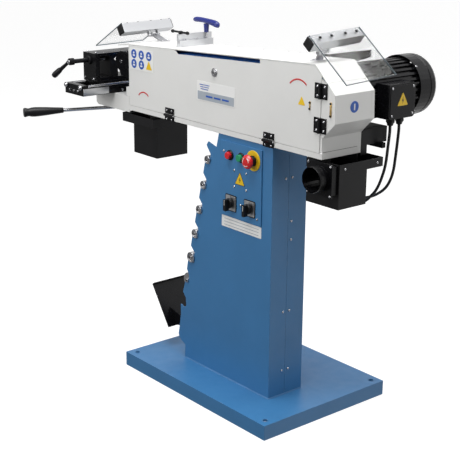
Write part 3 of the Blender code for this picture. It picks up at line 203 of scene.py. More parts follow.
BRUSHED = (1.0, 0.03, 1.0)       # grain drawn out along Y
LOOKS = {
    "column_blue": surface("column_blue_coat", (0.040, 0.170, 0.370), 0.42, grain=(420.0, 0.16), vary=0.05,
                           worn=(0.25, 0.36, 0.50)),
    "housing_grey": surface("housing_coat", (0.72, 0.72, 0.705), 0.42, grain=(520.0, 0.12), vary=0.025,
                            worn=(0.52, 0.52, 0.51), Coat_Weight=0.10),
    "black_paint": surface("black_enamel", (0.004, 0.004, 0.005), 0.27, grain=(380.0, 0.14), vary=0.20,
                           worn=(0.05, 0.05, 0.055), Specular_IOR_Level=0.22),
    "dark_steel": surface("dark_sheet", (0.008, 0.008, 0.009), 0.38, grain=(460.0, 0.16), vary=0.20,
                          worn=(0.06, 0.06, 0.065), Specular_IOR_Level=0.22),
    "bright_steel": surface("turned_steel", (0.60, 0.60, 0.62), 0.24, 1.0, grain=(260.0, 0.10), vary=0.07,
                            stretch=(1.0, 0.06, 1.0), worn=(0.80, 0.80, 0.81)),
    "aluminium": surface("brushed_aluminium", (0.70, 0.71, 0.73), 0.34, 1.0, grain=(420.0, 0.10), vary=0.05,
                         stretch=BRUSHED, worn=(0.86, 0.86, 0.88)),
    "abrasive_blue": surface("abrasive_grit", (0.020, 0.200, 0.720), 0.72, grain=(1500.0, 0.9), vary=0.16,
                             cloud=22.0, rough_spread=0.10, specks=((0.14, 0.36, 0.86), 1300.0, 0.05)),
    "red_plastic": surface("red_gloss", (0.62, 0.012, 0.016), 0.24, grain=(700.0, 0.05), Coat_Weight=0.4),
    "green_plastic": surface("green_gloss", (0.010, 0.270, 0.110), 0.26, grain=(700.0, 0.05),
                             Coat_Weight=0.4),
    "yellow_plastic": surface("yellow_gloss", (0.80, 0.52, 0.010), 0.34, grain=(600.0, 0.08)),
    "black_plastic": surface("black_moulding", (0.008, 0.008, 0.009), 0.40, grain=(800.0, 0.20), vary=0.15,
                             worn=(0.04, 0.04, 0.042), Specular_IOR_Level=0.25),
    "key_blue": surface("blue_moulding", (0.012, 0.020, 0.160), 0.34, grain=(700.0, 0.10), vary=0.10),
    "rubber": surface("cable_sheath", (0.013, 0.013, 0.014), 0.52, grain=(900.0, 0.25), vary=0.15),
    "ink_white": surface("label_white", (0.80, 0.80, 0.79), 0.38, grain=(300.0, 0.05), vary=0.015),
    "ink_grey": surface("label_grey", (0.36, 0.40, 0.45), 0.38, grain=(300.0, 0.05), vary=0.03),
    "ink_blue": surface("label_blue", (0.015, 0.090, 0.420), 0.38, grain=(300.0, 0.05), vary=0.03),
    "ink_red": surface("label_red", (0.55, 0.020, 0.020), 0.38, grain=(300.0, 0.05), vary=0.03),
    "ink_black": surface("label_black", (0.010, 0.010, 0.011), 0.40, grain=(300.0, 0.05), vary=0.03),
    "brass": surface("brass", (0.72, 0.50, 0.20), 0.30, 1.0, grain=(300.0, 0.08), vary=0.06),
    "pane_edge": surface("clear_sheet_edge", (0.10, 0.13, 0.15), 0.20, grain=(200.0, 0.05), vary=0.10),
    "weld": surface("weld_bead", (0.060, 0.180, 0.370), 0.46, grain=(240.0, 0.7), vary=0.10),
    "clear_pane": surface("clear_sheet", (0.95, 0.97, 0.98), 0.05, grain=(60.0, 0.02), vary=0.01,
                          rough_spread=0.03, edge=0.0006, Transmission_Weight=1.0, IOR=1.25, Alpha=0.16),
}


def dress_frame():
    """Every carried-over part takes the look of its own material slot."""
    slots = {s["node"]: s["material_slot"] for s in frame["record"]["subparts"]}
    for name, part in NODES.items():
        part.data.materials.clear()
        part.data.materials.append(LOOKS[slots[name]])


# ---------------------------------------------------------------- shapes
def arc(centre, radius, start, end, step=10.0):
    """Points of an arc, with its angles in degrees."""
    count = max(1, ceil(abs(end - start) / step))
    turns = [radians(start + (end - start) * k / count) for k in range(count + 1)]
    return [(centre[0] + radius * cos(t), centre[1] + radius * sin(t)) for t in turns]


def facing(place, normal, up=UP):
    """Matrix of a drawing plane: X to the viewer's right, Y along up, Z out along normal."""
    across = up.cross(normal).normalized()
    matrix = Matrix((across, normal.cross(across), normal)).transposed().to_4x4()
    matrix.translation = place
    return matrix


def lathe(bm, profile, plane, segments=32, hexed=()):
    """Adds a turned solid; profile is (radius, height) and a hexed ring's radius is half its width."""
    rings = []
    for k, (radius, height) in enumerate(profile):
        if radius == 0.0:
            rings.append([bm.verts.new(plane @ Vector((0.0, 0.0, height)))])
            continue
        ring = []
        for s in range(segments):
            turn = 360.0 * s / segments
            reach = radius / cos(radians((turn + 30.0) % 60.0 - 30.0)) if k in hexed else radius
            spot = Vector((reach * cos(radians(turn)), reach * sin(radians(turn)), height))
            ring.append(bm.verts.new(plane @ spot))
        rings.append(ring)
    pairs = list(zip(rings, rings[1:]))
    if len(rings[0]) > 1:
        pairs.append((rings[-1], rings[0]))
    for one, two in pairs:
        for s in range(segments):
            after = (s + 1) % segments
            corners = [one[s % len(one)], two[s % len(two)], two[after % len(two)], one[after % len(one)]]
            bm.faces.new(list(dict.fromkeys(corners)))


def extrude(bm, outline, plane, low, high):
    """Adds a solid of a plane outline between two heights over the plane."""
    rings = [[bm.verts.new(plane @ Vector((x, y, h))) for x, y in outline] for h in (low, high)]
    bm.faces.new(rings[0])
    bm.faces.new(rings[1][::-1])
    for k in range(len(outline)):
        after = (k + 1) % len(outline)
        bm.faces.new((rings[0][k], rings[0][after], rings[1][after], rings[1][k]))


def rounded(width, height, corner, middle=(0.0, 0.0)):
    """Outline of a rectangle with round corners."""
    x, y = width / 2 - corner, height / 2 - corner
    points = []
    for sx, sy, start in ((1, 1, 0), (-1, 1, 90), (-1, -1, 180), (1, -1, 270)):
        points += arc((middle[0] + sx * x, middle[1] + sy * y), corner, start, start + 90, 22.5)
    return points


def triangle(side, corner, middle=(0.0, 0.0)):
    """Outline of an upright triangle with round corners."""
    inner = side / 2 - corner * 1.732
    low = -inner * 0.577
    points = []
    for spot, start in (((inner, low), -90), ((0.0, inner * 1.155), 30), ((-inner, low), 150)):
        points += arc((middle[0] + spot[0], middle[1] + spot[1]), corner, start, start + 120, 30)
    return points


def slab(bm, centre, size, bevel=0.001, turn=None):
    """Adds a box with bevelled edges."""
    work = bmesh.new()
    bmesh.ops.create_cube(work, size=1.0, matrix=Matrix.Diagonal((*size, 1.0)))
    bmesh.ops.bevel(work, geom=list(work.edges), offset=bevel, segments=3, profile=0.5, affect="EDGES")
    work.transform(Matrix.Translation(centre) @ (turn or Matrix.Identity(4)))
    mesh = bpy.data.meshes.new("slab")
    work.to_mesh(mesh)
    work.free()
    bm.from_mesh(mesh)
    bpy.data.meshes.remove(mesh)


def smooth_line(points, spacing):
    """Points read from one smooth curve through the given ones, about spacing apart."""
    knots = [Vector(p) for p in points]
    knots = [2 * knots[0] - knots[1], *knots, 2 * knots[-1] - knots[-2]]
    line = []
    for a, b, c, d in zip(knots, knots[1:], knots[2:], knots[3:]):
        steps = max(1, round((c - b).length / spacing))
        for k in range(steps):
            t = k / steps
            line.append(0.5 * (2 * b + (c - a) * t + (2 * a - 5 * b + 4 * c - d) * t ** 2
                               + (3 * b - a - 3 * c + d) * t ** 3))
    return [*line, knots[-2]]


def done(name, bm, look, body, sharp=32.0):
    """Finishes a detail: one object with its look, riding on a body of the machine."""
    bmesh.ops.recalc_face_normals(bm, faces=bm.faces)
    mesh = bpy.data.meshes.new(name)
    bm.to_mesh(mesh)
    bm.free()
    mesh.shade_smooth()
    mesh.set_sharp_from_angle(angle=radians(sharp))
    mesh.materials.append(LOOKS[look])
    part = bpy.data.objects.new(name, mesh)
    bpy.context.scene.collection.objects.link(part)
    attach(part, body)
    return part


# ---------------------------------------------------------------- fasteners
def socket_screw(bm, plane, radius, height=None):
    """Cylinder head with a hexagon socket."""
    h = height or radius * 0.9
    profile = [(0.0, -SINK), (radius, -SINK), (radius, h - radius * 0.18), (radius * 0.86, h),
               (radius * 0.52, h), (radius * 0.50, h - radius * 0.08), (radius * 0.50, h * 0.35),
               (0.0, h * 0.30)]
    lathe(bm, profile, plane, 24, hexed=(4, 5, 6))


def pan_screw(bm, plane, radius):
    """Domed head with a hexagon recess."""
    h = radius * 0.62
    profile = [(0.0, -SINK), (radius, -SINK), (radius, h * 0.30), (radius * 0.93, h * 0.62),
               (radius * 0.72, h * 0.92), (radius * 0.42, h), (radius * 0.38, h * 0.92),
               (radius * 0.34, h * 0.35), (0.0, h * 0.30)]
    lathe(bm, profile, plane, 24, hexed=(5, 6, 7))


def screws(name, look, body, spots, radius, kind=pan_screw):
    """One object with the same screw at each (place, normal, up)."""
    bm = bmesh.new()
    for place, normal, up in spots:
        kind(bm, facing(place, normal, up), radius)
    return done(name, bm, look, body)


def plate(name, look, body, plane, outline, thickness=0.0005):
    """One thin flat plate or print."""
    bm = bmesh.new()
    extrude(bm, outline, plane, -SINK, thickness)
    return done(name, bm, look, body)


def front(x, z, y=HEAD_FRONT):
    """Place, normal and up direction of a spot on a face towards the operator."""
    return P(x, y, z), FRONT, UP


# ---------------------------------------------------------------- control panel
STOP_AT, START_AT, ESTOP_AT = (0.035, 0.731), (0.083, 0.732), (0.134, 0.733)
KNOBS_AT = ((0.0405, 0.593), (0.1215, 0.594))
PANEL_SCREWS = ((0.007, 0.739), (0.154, 0.739), (0.053, 0.691), (0.105, 0.691), (0.054, 0.644),
                (0.106, 0.643), (0.082, 0.595), (0.153, 0.569))


def make_panel_details():
    """Button collars, switch plates, screws and the labels on the column's front."""
    bm = bmesh.new()
    for at in (STOP_AT, START_AT):
        plane = facing(*front(*at, PANEL_FACE))
        lathe(bm, [(0.0108, -SINK), (0.0145, -SINK), (0.0145, 0.0022), (0.0132, 0.0042), (0.0112, 0.0045),
                   (0.0107, 0.0036)], plane, 48)
    done("button_bezels", bm, "black_plastic", "frame")

    bm = bmesh.new()
    plane = facing(*front(*ESTOP_AT, PANEL_FACE))
    lathe(bm, [(0.0120, -SINK), (0.0290, -SINK), (0.0290, 0.0012), (0.0280, 0.0020), (0.0135, 0.0020),
               (0.0120, 0.0016)], plane, 64)
    done("estop_collar", bm, "yellow_plastic", "frame")
    bm = bmesh.new()
    lathe(bm, [(0.0106, -SINK), (0.0150, -SINK), (0.0150, 0.0080), (0.0138, 0.0110), (0.0122, 0.0112),
               (0.0106, 0.0105)], plane, 48)
    done("estop_sleeve", bm, "black_plastic", "frame")
    bm = bmesh.new()
    cap = facing(P(ESTOP_AT[0], -0.1482, ESTOP_AT[1]), FRONT)
    for start in (0, 120, 240):
        outer = arc((0.0, 0.0), 0.0128, start, start + 70, 14)
        extrude(bm, outer + arc((0.0, 0.0), 0.0112, start + 70, start, 14), cap, -0.0004, 0.0003)
    done("estop_arrows", bm, "ink_white", "estop")

    for name, at, ticks in (("left", KNOBS_AT[0], (0, 60)), ("right", KNOBS_AT[1], (-60, 0, 60))):
        plane = facing(*front(*at, PANEL_FACE))
        bm = bmesh.new()
        outer, inner = rounded(0.048, 0.048, 0.004), rounded(0.0425, 0.0425, 0.002)
        extrude(bm, outer, plane, -SINK, 0.0014)
        done(f"switch_frame_{name}", bm, "black_plastic", "frame")
        bm = bmesh.new()
        extrude(bm, inner, plane, 0.0013, 0.0022)
        done(f"switch_plate_{name}", bm, "aluminium", "frame")
        bm = bmesh.new()
        for tick in ticks:
            turn = Matrix.Rotation(radians(-tick), 4, "Z")
            extrude(bm, rounded(0.0012, 0.0030, 0.0003, (0.0, 0.0185)), plane @ turn, 0.0021, 0.0025)
        done(f"switch_marks_{name}", bm, "ink_black", "frame")
        bm = bmesh.new()
        grip = facing(P(at[0], -0.1450, at[1]), FRONT)
        extrude(bm, rounded(0.0016, 0.0150, 0.0005, (0.0, 0.0045)), grip, -SINK, 0.0003)
        done(f"knob_pointer_{name}", bm, "ink_white", f"knob_{name}")

    spots = [front(x, z, PANEL_FACE) for x, z in PANEL_SCREWS]
    screws("panel_screws", "bright_steel", "frame", spots, 0.0034)

    plane = facing(*front(0.078, 0.665, PANEL_FACE))
    plate("panel_warning_rim", "ink_black", "frame", plane, triangle(0.0440, 0.0025), 0.0004)
    plate("panel_warning", "yellow_plastic", "frame", plane, triangle(0.0395, 0.0015), 0.0006)
    bolt = [(0.0015, 0.0125), (-0.0038, 0.0002), (-0.0003, 0.0011), (-0.0016, -0.0064), (0.0040, 0.0042),
            (0.0006, 0.0030)]
    plate("panel_warning_sign", "ink_black", "frame", plane, bolt, 0.0008)
    label = facing(*front(0.082, 0.5325, COLUMN_FACE))
    plate("column_label", "ink_white", "frame", label, rounded(0.172, 0.033, 0.0015))
    bm = bmesh.new()
    for y in (0.0085, -0.0005, -0.0095):
        extrude(bm, rounded(0.150, 0.0016, 0.0007, (0.0, y)), label, 0.0004, 0.0007)
    done("column_label_bands", bm, "ink_grey", "frame")


# ---------------------------------------------------------------- plates on the doors
def make_door_plates():
    """Pictograms, the name plate, direction arcs and warning signs on both covers."""
    plane = facing(*front(-0.3885, 0.9475))
    plate("pictogram_plate", "ink_white", "front_door", plane, rounded(0.121, 0.065, 0.002))
    bm, signs = bmesh.new(), bmesh.new()
    column, row = 0.0385, 0.0148
    for k in range(5):
        at = (column * (k % 3 - 1), row if k < 3 else -row)
        extrude(bm, arc(at, 0.0138, 0, 350, 10), plane, 0.0004, 0.0008)
        extrude(signs, arc((at[0], at[1] + 0.0038), 0.0036, 0, 330, 30), plane, 0.0007, 0.0010)
        extrude(signs, rounded(0.0115, 0.0052, 0.0022, (at[0], at[1] - 0.0040)), plane, 0.0007, 0.0010)
    done("pictogram_discs", bm, "ink_blue", "front_door")
    done("pictogram_signs", signs, "ink_white", "front_door")
    sign = triangle(0.031, 0.0015, (column, -row - 0.002))
    plate("pictogram_warning", "yellow_plastic", "front_door", plane, sign, 0.0008)

    plane = facing(*front(-0.0315, 0.895))
    plate("name_plate", "ink_white", "front_door", plane, rounded(0.169, 0.056, 0.002))
    plate("name_plate_band", "ink_grey", "front_door", plane, rounded(0.161, 0.024, 0.001, (0.0, -0.013)),
          0.0008)
    bm = bmesh.new()
    for k in range(3):
        extrude(bm, rounded(0.046 - 0.006 * k, 0.0022, 0.0008, (-0.050, 0.018 - 0.0062 * k)), plane, 0.0004,
                0.0008)
        extrude(bm, rounded(0.030, 0.0050, 0.0010, (-0.028 + 0.036 * k, -0.013)), plane, 0.0007, 0.0011)
    done("name_plate_marks", bm, "ink_blue", "front_door")

    bm = bmesh.new()
    for x, z, radius in ((-0.379, 0.850, 0.036), (0.306, 0.980, 0.044)):
        curve = facing(*front(x, z - radius))
        bend = [*arc((0.0, 0.0), radius + 0.0020, 138, 50, 6), *arc((0.0, 0.0), radius - 0.0020, 46, 138, 6)]
        extrude(bm, bend, curve, -SINK, 0.0004)
    done("direction_arcs", bm, "ink_red", "front_door")
    plate("door_warning", "yellow_plastic", "front_door", facing(*front(0.319, 0.923)),
          triangle(0.027, 0.0015), 0.0004)
    place = facing(P(0.4413, -0.051, 0.921), RIGHT)
    plate("end_cover_disc", "ink_blue", "end_door", place, arc((0.0, 0.0), 0.0150, 0, 350, 10), 0.0005)
    plate("end_cover_sign", "ink_white", "end_door", place, rounded(0.0045, 0.0170, 0.0020), 0.0008)


# ---------------------------------------------------------------- hinges, lock and interlocks
DOOR_HINGES_X, END_HINGES_Z = (-0.246, 0.196), (0.961, 0.873)


def make_hinge_details():
    """Hinge leaves with their screws, and the door lock."""
    leaf_face, fixed, moving, knuckles = HEAD_FRONT - 0.0033, [], [], bmesh.new()
    bm = bmesh.new()
    for x in DOOR_HINGES_X:
        slab(bm, P(x, HEAD_FRONT - 0.0016, 0.8135), (0.042, 0.0033, 0.0170), 0.0008)
        for side in (-0.012, 0.012):
            fixed.append((P(x + side, leaf_face, 0.7885), FRONT, UP))
            moving.append((P(x + side, leaf_face, 0.8145), FRONT, UP))
        for side in (-0.0214, 0.0214):
            plane = facing(P(x + side, -0.1238, 0.8000), RIGHT if side > 0 else LEFT)
            lathe(knuckles, [(0.0, -SINK), (0.0030, -SINK), (0.0028, 0.0008), (0.0016, 0.0014),
                             (0.0, 0.0015)], plane, 16)
    done("door_hinge_leaves", bm, "black_paint", "front_door")
    done("door_hinge_pins", knuckles, "bright_steel", "frame")
    screws("door_hinge_screws_fixed", "bright_steel", "frame", fixed, 0.0031)
    screws("door_hinge_screws_moving", "bright_steel", "front_door", moving, 0.0031)

    bm, near, far = bmesh.new(), [], []
    for z in END_HINGES_Z:
        slab(bm, P(0.4035, HEAD_FRONT - 0.0016, z), (0.0175, 0.0033, 0.040), 0.0008)
        for side in (-0.012, 0.012):
            near.append((P(0.3790, leaf_face, z + side), FRONT, UP))
            far.append((P(0.4055, leaf_face, z + side), FRONT, UP))
    done("end_hinge_leaves", bm, "black_paint", "end_door")
    screws("end_hinge_screws_near", "bright_steel", "front_door", near, 0.0031)
    screws("end_hinge_screws_far", "bright_steel", "end_door", far, 0.0031)

    bm = bmesh.new()
    lathe(bm, [(0.0098, -SINK), (0.0128, -SINK), (0.0128, 0.0010), (0.0118, 0.0018), (0.0098, 0.0018)],
          facing(*front(-0.037, 0.954)), 40)
    done("lock_escutcheon", bm, "bright_steel", "front_door")
    # Flat black triangle on the lock face: painted shade standing in for the dark inside of the key's
    # triangular socket.
    bm = bmesh.new()
    lock = facing(P(-0.037, -0.1245, 0.954), FRONT)
    extrude(bm, arc((0.0, 0.0), 0.0045, 90, 330, 120), lock, -0.0005, 0.0002)
    done("lock_key_recess_shade", bm, "ink_black", "lock")


# ---------------------------------------------------------------- motor
WHEEL_X, AXIS_Z = 0.326, 0.930           # motor shaft
COWL_RADIUS, COWL_END = 0.085, 0.308     # fan cowl and the y of its end
FLANGE_BOLT_CIRCLE = 0.072


def make_motor_details():
    """Terminal box lid, cable glands, cowl and the flange's bolts."""
    bm = bmesh.new()
    lid = facing(P(0.4412, 0.123, 0.9175), RIGHT)
    extrude(bm, rounded(0.100, 0.092, 0.010), lid, -0.001, 0.0052)
    extrude(bm, rounded(0.092, 0.084, 0.008), lid, 0.0050, 0.0066)
    done("terminal_lid", bm, "black_paint", "frame", 25.0)
    corners = [(P(0.4476, 0.123 + sy * 0.040, 0.9175 + sz * 0.036), RIGHT, UP)
               for sy in (-1, 1) for sz in (-1, 1)]
    screws("terminal_lid_screws", "bright_steel", "frame", corners, 0.0032)
    sign = facing(P(0.4478, 0.123, 0.9175), RIGHT)
    plate("terminal_warning", "yellow_plastic", "frame", sign, triangle(0.041, 0.0020), 0.0004)
    bolt = [(0.0016, 0.0130), (-0.0040, 0.0002), (-0.0003, 0.0012), (-0.0016, -0.0068), (0.0042, 0.0044),
            (0.0006, 0.0032)]
    plate("terminal_warning_sign", "ink_black", "frame", sign, bolt, 0.0006)

    bm = bmesh.new()
    for y in (0.105, 0.140):
        down = facing(P(0.424, y, 0.8660), -UP, FRONT)
        lathe(bm, [(0.0060, -0.001), (0.0100, -0.001), (0.0104, 0.0005), (0.0104, 0.0060), (0.0098, 0.0068),
                   (0.0088, 0.0100), (0.0076, 0.0140), (0.0048, 0.0150), (0.0044, 0.0140)], down, 36,
                   hexed=(1, 2, 3, 4))
    done("motor_gland_nuts", bm, "black_plastic", "frame")
    bm = bmesh.new()
    for x in (0.110, 0.141):
        out = facing(P(x, 0.0163, 0.600), BACK)
        lathe(bm, [(0.0060, -0.001), (0.0100, -0.001), (0.0104, 0.0005), (0.0104, 0.0060), (0.0098, 0.0068),
                   (0.0088, 0.0110), (0.0076, 0.0160), (0.0048, 0.0176), (0.0044, 0.0160)], out, 36,
                   hexed=(1, 2, 3, 4))
    done("column_gland_nuts", bm, "black_plastic", "frame")

    spots = []
    for k in range(4):
        turn = pi / 4 + k * pi / 2
        out = Vector((cos(turn), 0.0, sin(turn)))
        spots.append((P(WHEEL_X, 0.2400, AXIS_Z) + out * (COWL_RADIUS - 0.0001), out, BACK))
    screws("cowl_screws", "bright_steel", "frame", spots, 0.0034)
    bm = bmesh.new()
    back = facing(P(WHEEL_X, COWL_END, AXIS_Z), BACK)
    for radius in (0.0260, 0.0400, 0.0540, 0.0655):
        lathe(bm, [(radius, -SINK), (radius + 0.0022, -SINK), (radius + 0.0018, 0.0010),
                   (radius + 0.0004, 0.0010)], back, 64)
    done("cowl_ridges", bm, "black_paint", "frame")
    bm = bmesh.new()
    for z in (AXIS_Z + 0.020, AXIS_Z - 0.020):
        slab(bm, P(WHEEL_X + 0.0795, 0.205, z), (0.006, 0.050, 0.004), 0.0008)
    done("motor_rating_rails", bm, "black_paint", "frame")

    bolts_at = ((0.262, 0.830), (0.388, 0.860), (0.262, 0.990), (0.380, 0.985))
    spots = [(P(x, 0.0270, z), BACK, UP) for x, z in bolts_at]
    screws("bracket_bolts", "bright_steel", "frame", spots, 0.0060, socket_screw)
    flange = []
    for turn in (pi / 4, 3 * pi / 4, 5 * pi / 4, 7 * pi / 4):
        x, z = WHEEL_X + FLANGE_BOLT_CIRCLE * cos(turn), AXIS_Z + FLANGE_BOLT_CIRCLE * sin(turn)
        flange.append((P(x, 0.0409, z), BACK, UP))
    screws("flange_bolts", "bright_steel", "frame", flange, 0.0048, socket_screw)


def make_cables():
    """Both motor cables, from the terminal box down behind the right bin to the column."""
    for name, route in CABLE_ROUTES.items():
        line = smooth_line([P(*spot) for spot in route], 0.007)
        curve = bpy.data.curves.new(f"{name}_sheath", "CURVE")
        curve.dimensions = "3D"
        curve.bevel_depth = CABLE_RADIUS
        curve.bevel_resolution = 6
        curve.use_fill_caps = True
        spline = curve.splines.new("POLY")
        spline.points.add(len(line) - 1)
        spline.use_smooth = True
        for spot, place in zip(spline.points, line):
            spot.co = (*place, 1.0)
        curve.materials.append(LOOKS["rubber"])
        part = bpy.data.objects.new(f"{name}_sheath", curve)
        bpy.context.scene.collection.objects.link(part)
        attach(part, "frame")
        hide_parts(name)


# ---------------------------------------------------------------- housing, column and foot
INTERLOCK_Z = 0.918
# name, body, x, half of the screw spacing, and width of each interlock
INTERLOCKS = (("door", "front_door", 0.350, 0.0080, 0.0050),
              ("cover", "end_door", 0.4255, 0.0160, 0.0065))
WELD_BEAD, WELD_STEP = 0.0032, 0.0045


def make_body_details():
    """Interlocks, seams and screws, the foot weld, anchor holes and roller tips."""
    for name, body, x, half, wide in INTERLOCKS:
        bm = bmesh.new()
        slab(bm, P(x, HEAD_FRONT - 0.0008, INTERLOCK_Z), (wide, 0.0018, 2 * half + 0.007), 0.0006)
        done(f"interlock_strip_{name}", bm, "brass", body)
        spots = [front(x, INTERLOCK_Z + sign * half, HEAD_FRONT - 0.0016) for sign in (-1, 1)]
        screws(f"interlock_screws_{name}", "black_plastic", body, spots, 0.0031)
    bm = bmesh.new()
    slab(bm, P(0.3990, -0.0535, 0.8036), (0.0008, 0.126, 0.0010), 0.0003)
    done("sill_seal", bm, "ink_black", "frame")
    seam = [(P(0.2100, -0.043, z), RIGHT, UP) for z in (0.690, 0.565, 0.511, 0.300, 0.120)]
    seam += [(P(0.2100, -0.067, z), RIGHT, UP) for z in (0.690, 0.300, 0.120)]
    screws("column_screws", "bright_steel", "frame", seam, 0.0036)
    rear = [(P(x, 0.0120, z), BACK, UP) for x in (0.190, 0.020) for z in (0.740, 0.420, 0.100)]
    screws("rear_cover_screws", "bright_steel", "frame", rear, 0.0036)
    low_row = [(P(x, 0.0230, 0.805), BACK, UP) for x in (-0.400, -0.100, 0.150)]
    screws("housing_rear_screws", "bright_steel", "frame", low_row, 0.0036)

    bm = bmesh.new()
    walk = ((-0.182, COLUMN_FACE), (0.2100, COLUMN_FACE), (0.2100, 0.012), (-0.182, 0.012))
    bead_size = Matrix.Diagonal((WELD_BEAD * 1.15, WELD_BEAD * 1.15, WELD_BEAD * 0.85, 1.0))
    for (x0, y0), (x1, y1) in zip(walk, walk[1:]):
        start, end = P(x0, y0, 0.0442), P(x1, y1, 0.0442)
        run = end - start
        ripples = int(run.length / WELD_STEP)
        for k in range(ripples):
            spot = start + run * ((k + 0.5) / ripples)
            bmesh.ops.create_icosphere(bm, subdivisions=1, radius=1.0,
                                       matrix=Matrix.Translation(spot) @ bead_size)
    done("foot_weld", bm, "weld", "frame", 60.0)

    bm = bmesh.new()
    for x in (-0.3045, 0.3045):
        for y in (-0.211, 0.211):
            lathe(bm, [(0.0074, -SINK), (0.0098, -SINK), (0.0094, 0.0006), (0.0078, 0.0007)],
                  facing(P(x, y, 0.044), UP, BACK), 32)
    done("anchor_hole_rims", bm, "column_blue", "frame")

    for number in range(1, 7):
        low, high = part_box(f"stored_roller_{number}")
        middle = (low + high) / 2
        bm = bmesh.new()
        for y, way in ((low.y, FRONT), (high.y, BACK)):
            plane = facing(Vector((middle.x, y, middle.z)), way)
            lathe(bm, [(0.0012, -0.0006), (0.0034, -0.0006), (0.0034, 0.0004), (0.0030, 0.0008),
                       (0.0018, 0.0008), (0.0012, 0.0002)], plane, 20)
        done(f"stored_roller_tip_{number}", bm, "dark_steel", "frame")
    screws("tray_bolt", "bright_steel", "frame", [(P(-0.233, -0.0870, 0.140), FRONT, UP)], 0.0048,
           socket_screw)


# ---------------------------------------------------------------- shields
SHIELD_FRONT, BAR_HALF = -0.119, 0.0145
# side, lean in degrees, pivot, bar's middle in X and Z, bar's turn in degrees, y of its back end, pane width
SHIELDS = (("left", 1.0, (-0.482, -0.004, 1.006), (-0.494, 1.030), 29.5, 0.066, 0.172),
           ("right", 3.0, (0.335, -0.064, 1.0485), (0.341, 1.0765), 50.5, 0.062, 0.171))


def make_shield_details():
    """End caps and screws of the bars, rims of the panes, arm screws and pivots."""
    for side, lean, hinge, centre, twist, back_y, width in SHIELDS:
        body, pivot = f"{side}_shield", P(*hinge)
        tilt = Matrix.Rotation(radians(lean), 4, "X")
        climb = Matrix.Translation(pivot) @ tilt @ Matrix.Translation(-pivot)
        bm, bolts = bmesh.new(), bmesh.new()
        for y, way in ((SHIELD_FRONT, FRONT), (back_y, BACK)):
            tip = climb @ facing(P(centre[0], y, centre[1]), way)
            turn = Matrix.Rotation(radians(-twist if way == BACK else twist), 4, "Z")
            extrude(bm, rounded(0.0286, 0.0286, 0.0025), tip @ turn, -0.0004, 0.0022)
            extrude(bm, rounded(0.0230, 0.0230, 0.0020), tip @ turn, 0.0021, 0.0028)
        done(f"shield_cap_{side}", bm, "black_plastic", body, 25.0)
        bar = radians(twist)
        across, along = Vector((cos(bar), 0.0, sin(bar))), Vector((-sin(bar), 0.0, cos(bar)))
        normal, down = (across, -along) if side == "right" else (along, -across)
        middle = P(centre[0], 0.0, centre[1])
        for y in (-0.090, -0.050, 0.0, 0.040):
            spot = middle + normal * (BAR_HALF + 0.0033) + Vector((0.0, y, 0.0))
            pan_screw(bolts, climb @ facing(spot, normal, BACK), 0.0042)
        done(f"shield_screws_{side}", bolts, "dark_steel", body)
        edge, thick = 0.0009, 0.0034
        start = middle + normal * (BAR_HALF + 0.0018) - down * 0.0135
        level = Matrix.Rotation(atan2(-down.z, down.x), 4, "Y")
        bm = bmesh.new()
        for y in (SHIELD_FRONT + 0.0008, back_y - 0.0008):
            slab(bm, start + down * (width / 2) + Vector((0.0, y, 0.0)), (width, edge, thick), 0.0003, level)
        slab(bm, start + down * width + Vector((0.0, (SHIELD_FRONT + back_y) / 2, 0.0)),
             (edge, back_y - SHIELD_FRONT - 0.001, thick), 0.0003, level)
        bm.transform(climb)
        done(f"shield_pane_edge_{side}", bm, "pane_edge", body)
    bm = bmesh.new()
    off_sheet = Vector((-TOP_SLOPE, 0.0, 1.0)).normalized()
    for x, y in ((-0.422, -0.004), (0.310, -0.064)):
        for side in (-0.0085, 0.0085):
            spot = P(x, y + side, head_top(x) + 0.0034)
            socket_screw(bm, facing(spot, off_sheet, BACK), 0.0038, 0.0030)
    done("shield_arm_screws", bm, "bright_steel", "frame")
    for side, lean, hinge, *_ in SHIELDS:
        bm = bmesh.new()
        way = Vector((0.0, cos(radians(lean)), sin(radians(lean))))
        middle = P(*hinge)
        socket_screw(bm, facing(middle - way * 0.0184, -way, UP), 0.0042, 0.0034)
        lathe(bm, [(0.0, -SINK), (0.0046, -SINK), (0.0046, 0.0030), (0.0040, 0.0036), (0.0, 0.0036)],
              facing(middle + way * 0.0184, way, UP), 24, hexed=(1, 2, 3))
        done(f"shield_pivot_{side}", bm, "bright_steel", f"{side}_shield")


# ---------------------------------------------------------------- top fittings
BRACKET_X = -0.262               # stop bracket's middle


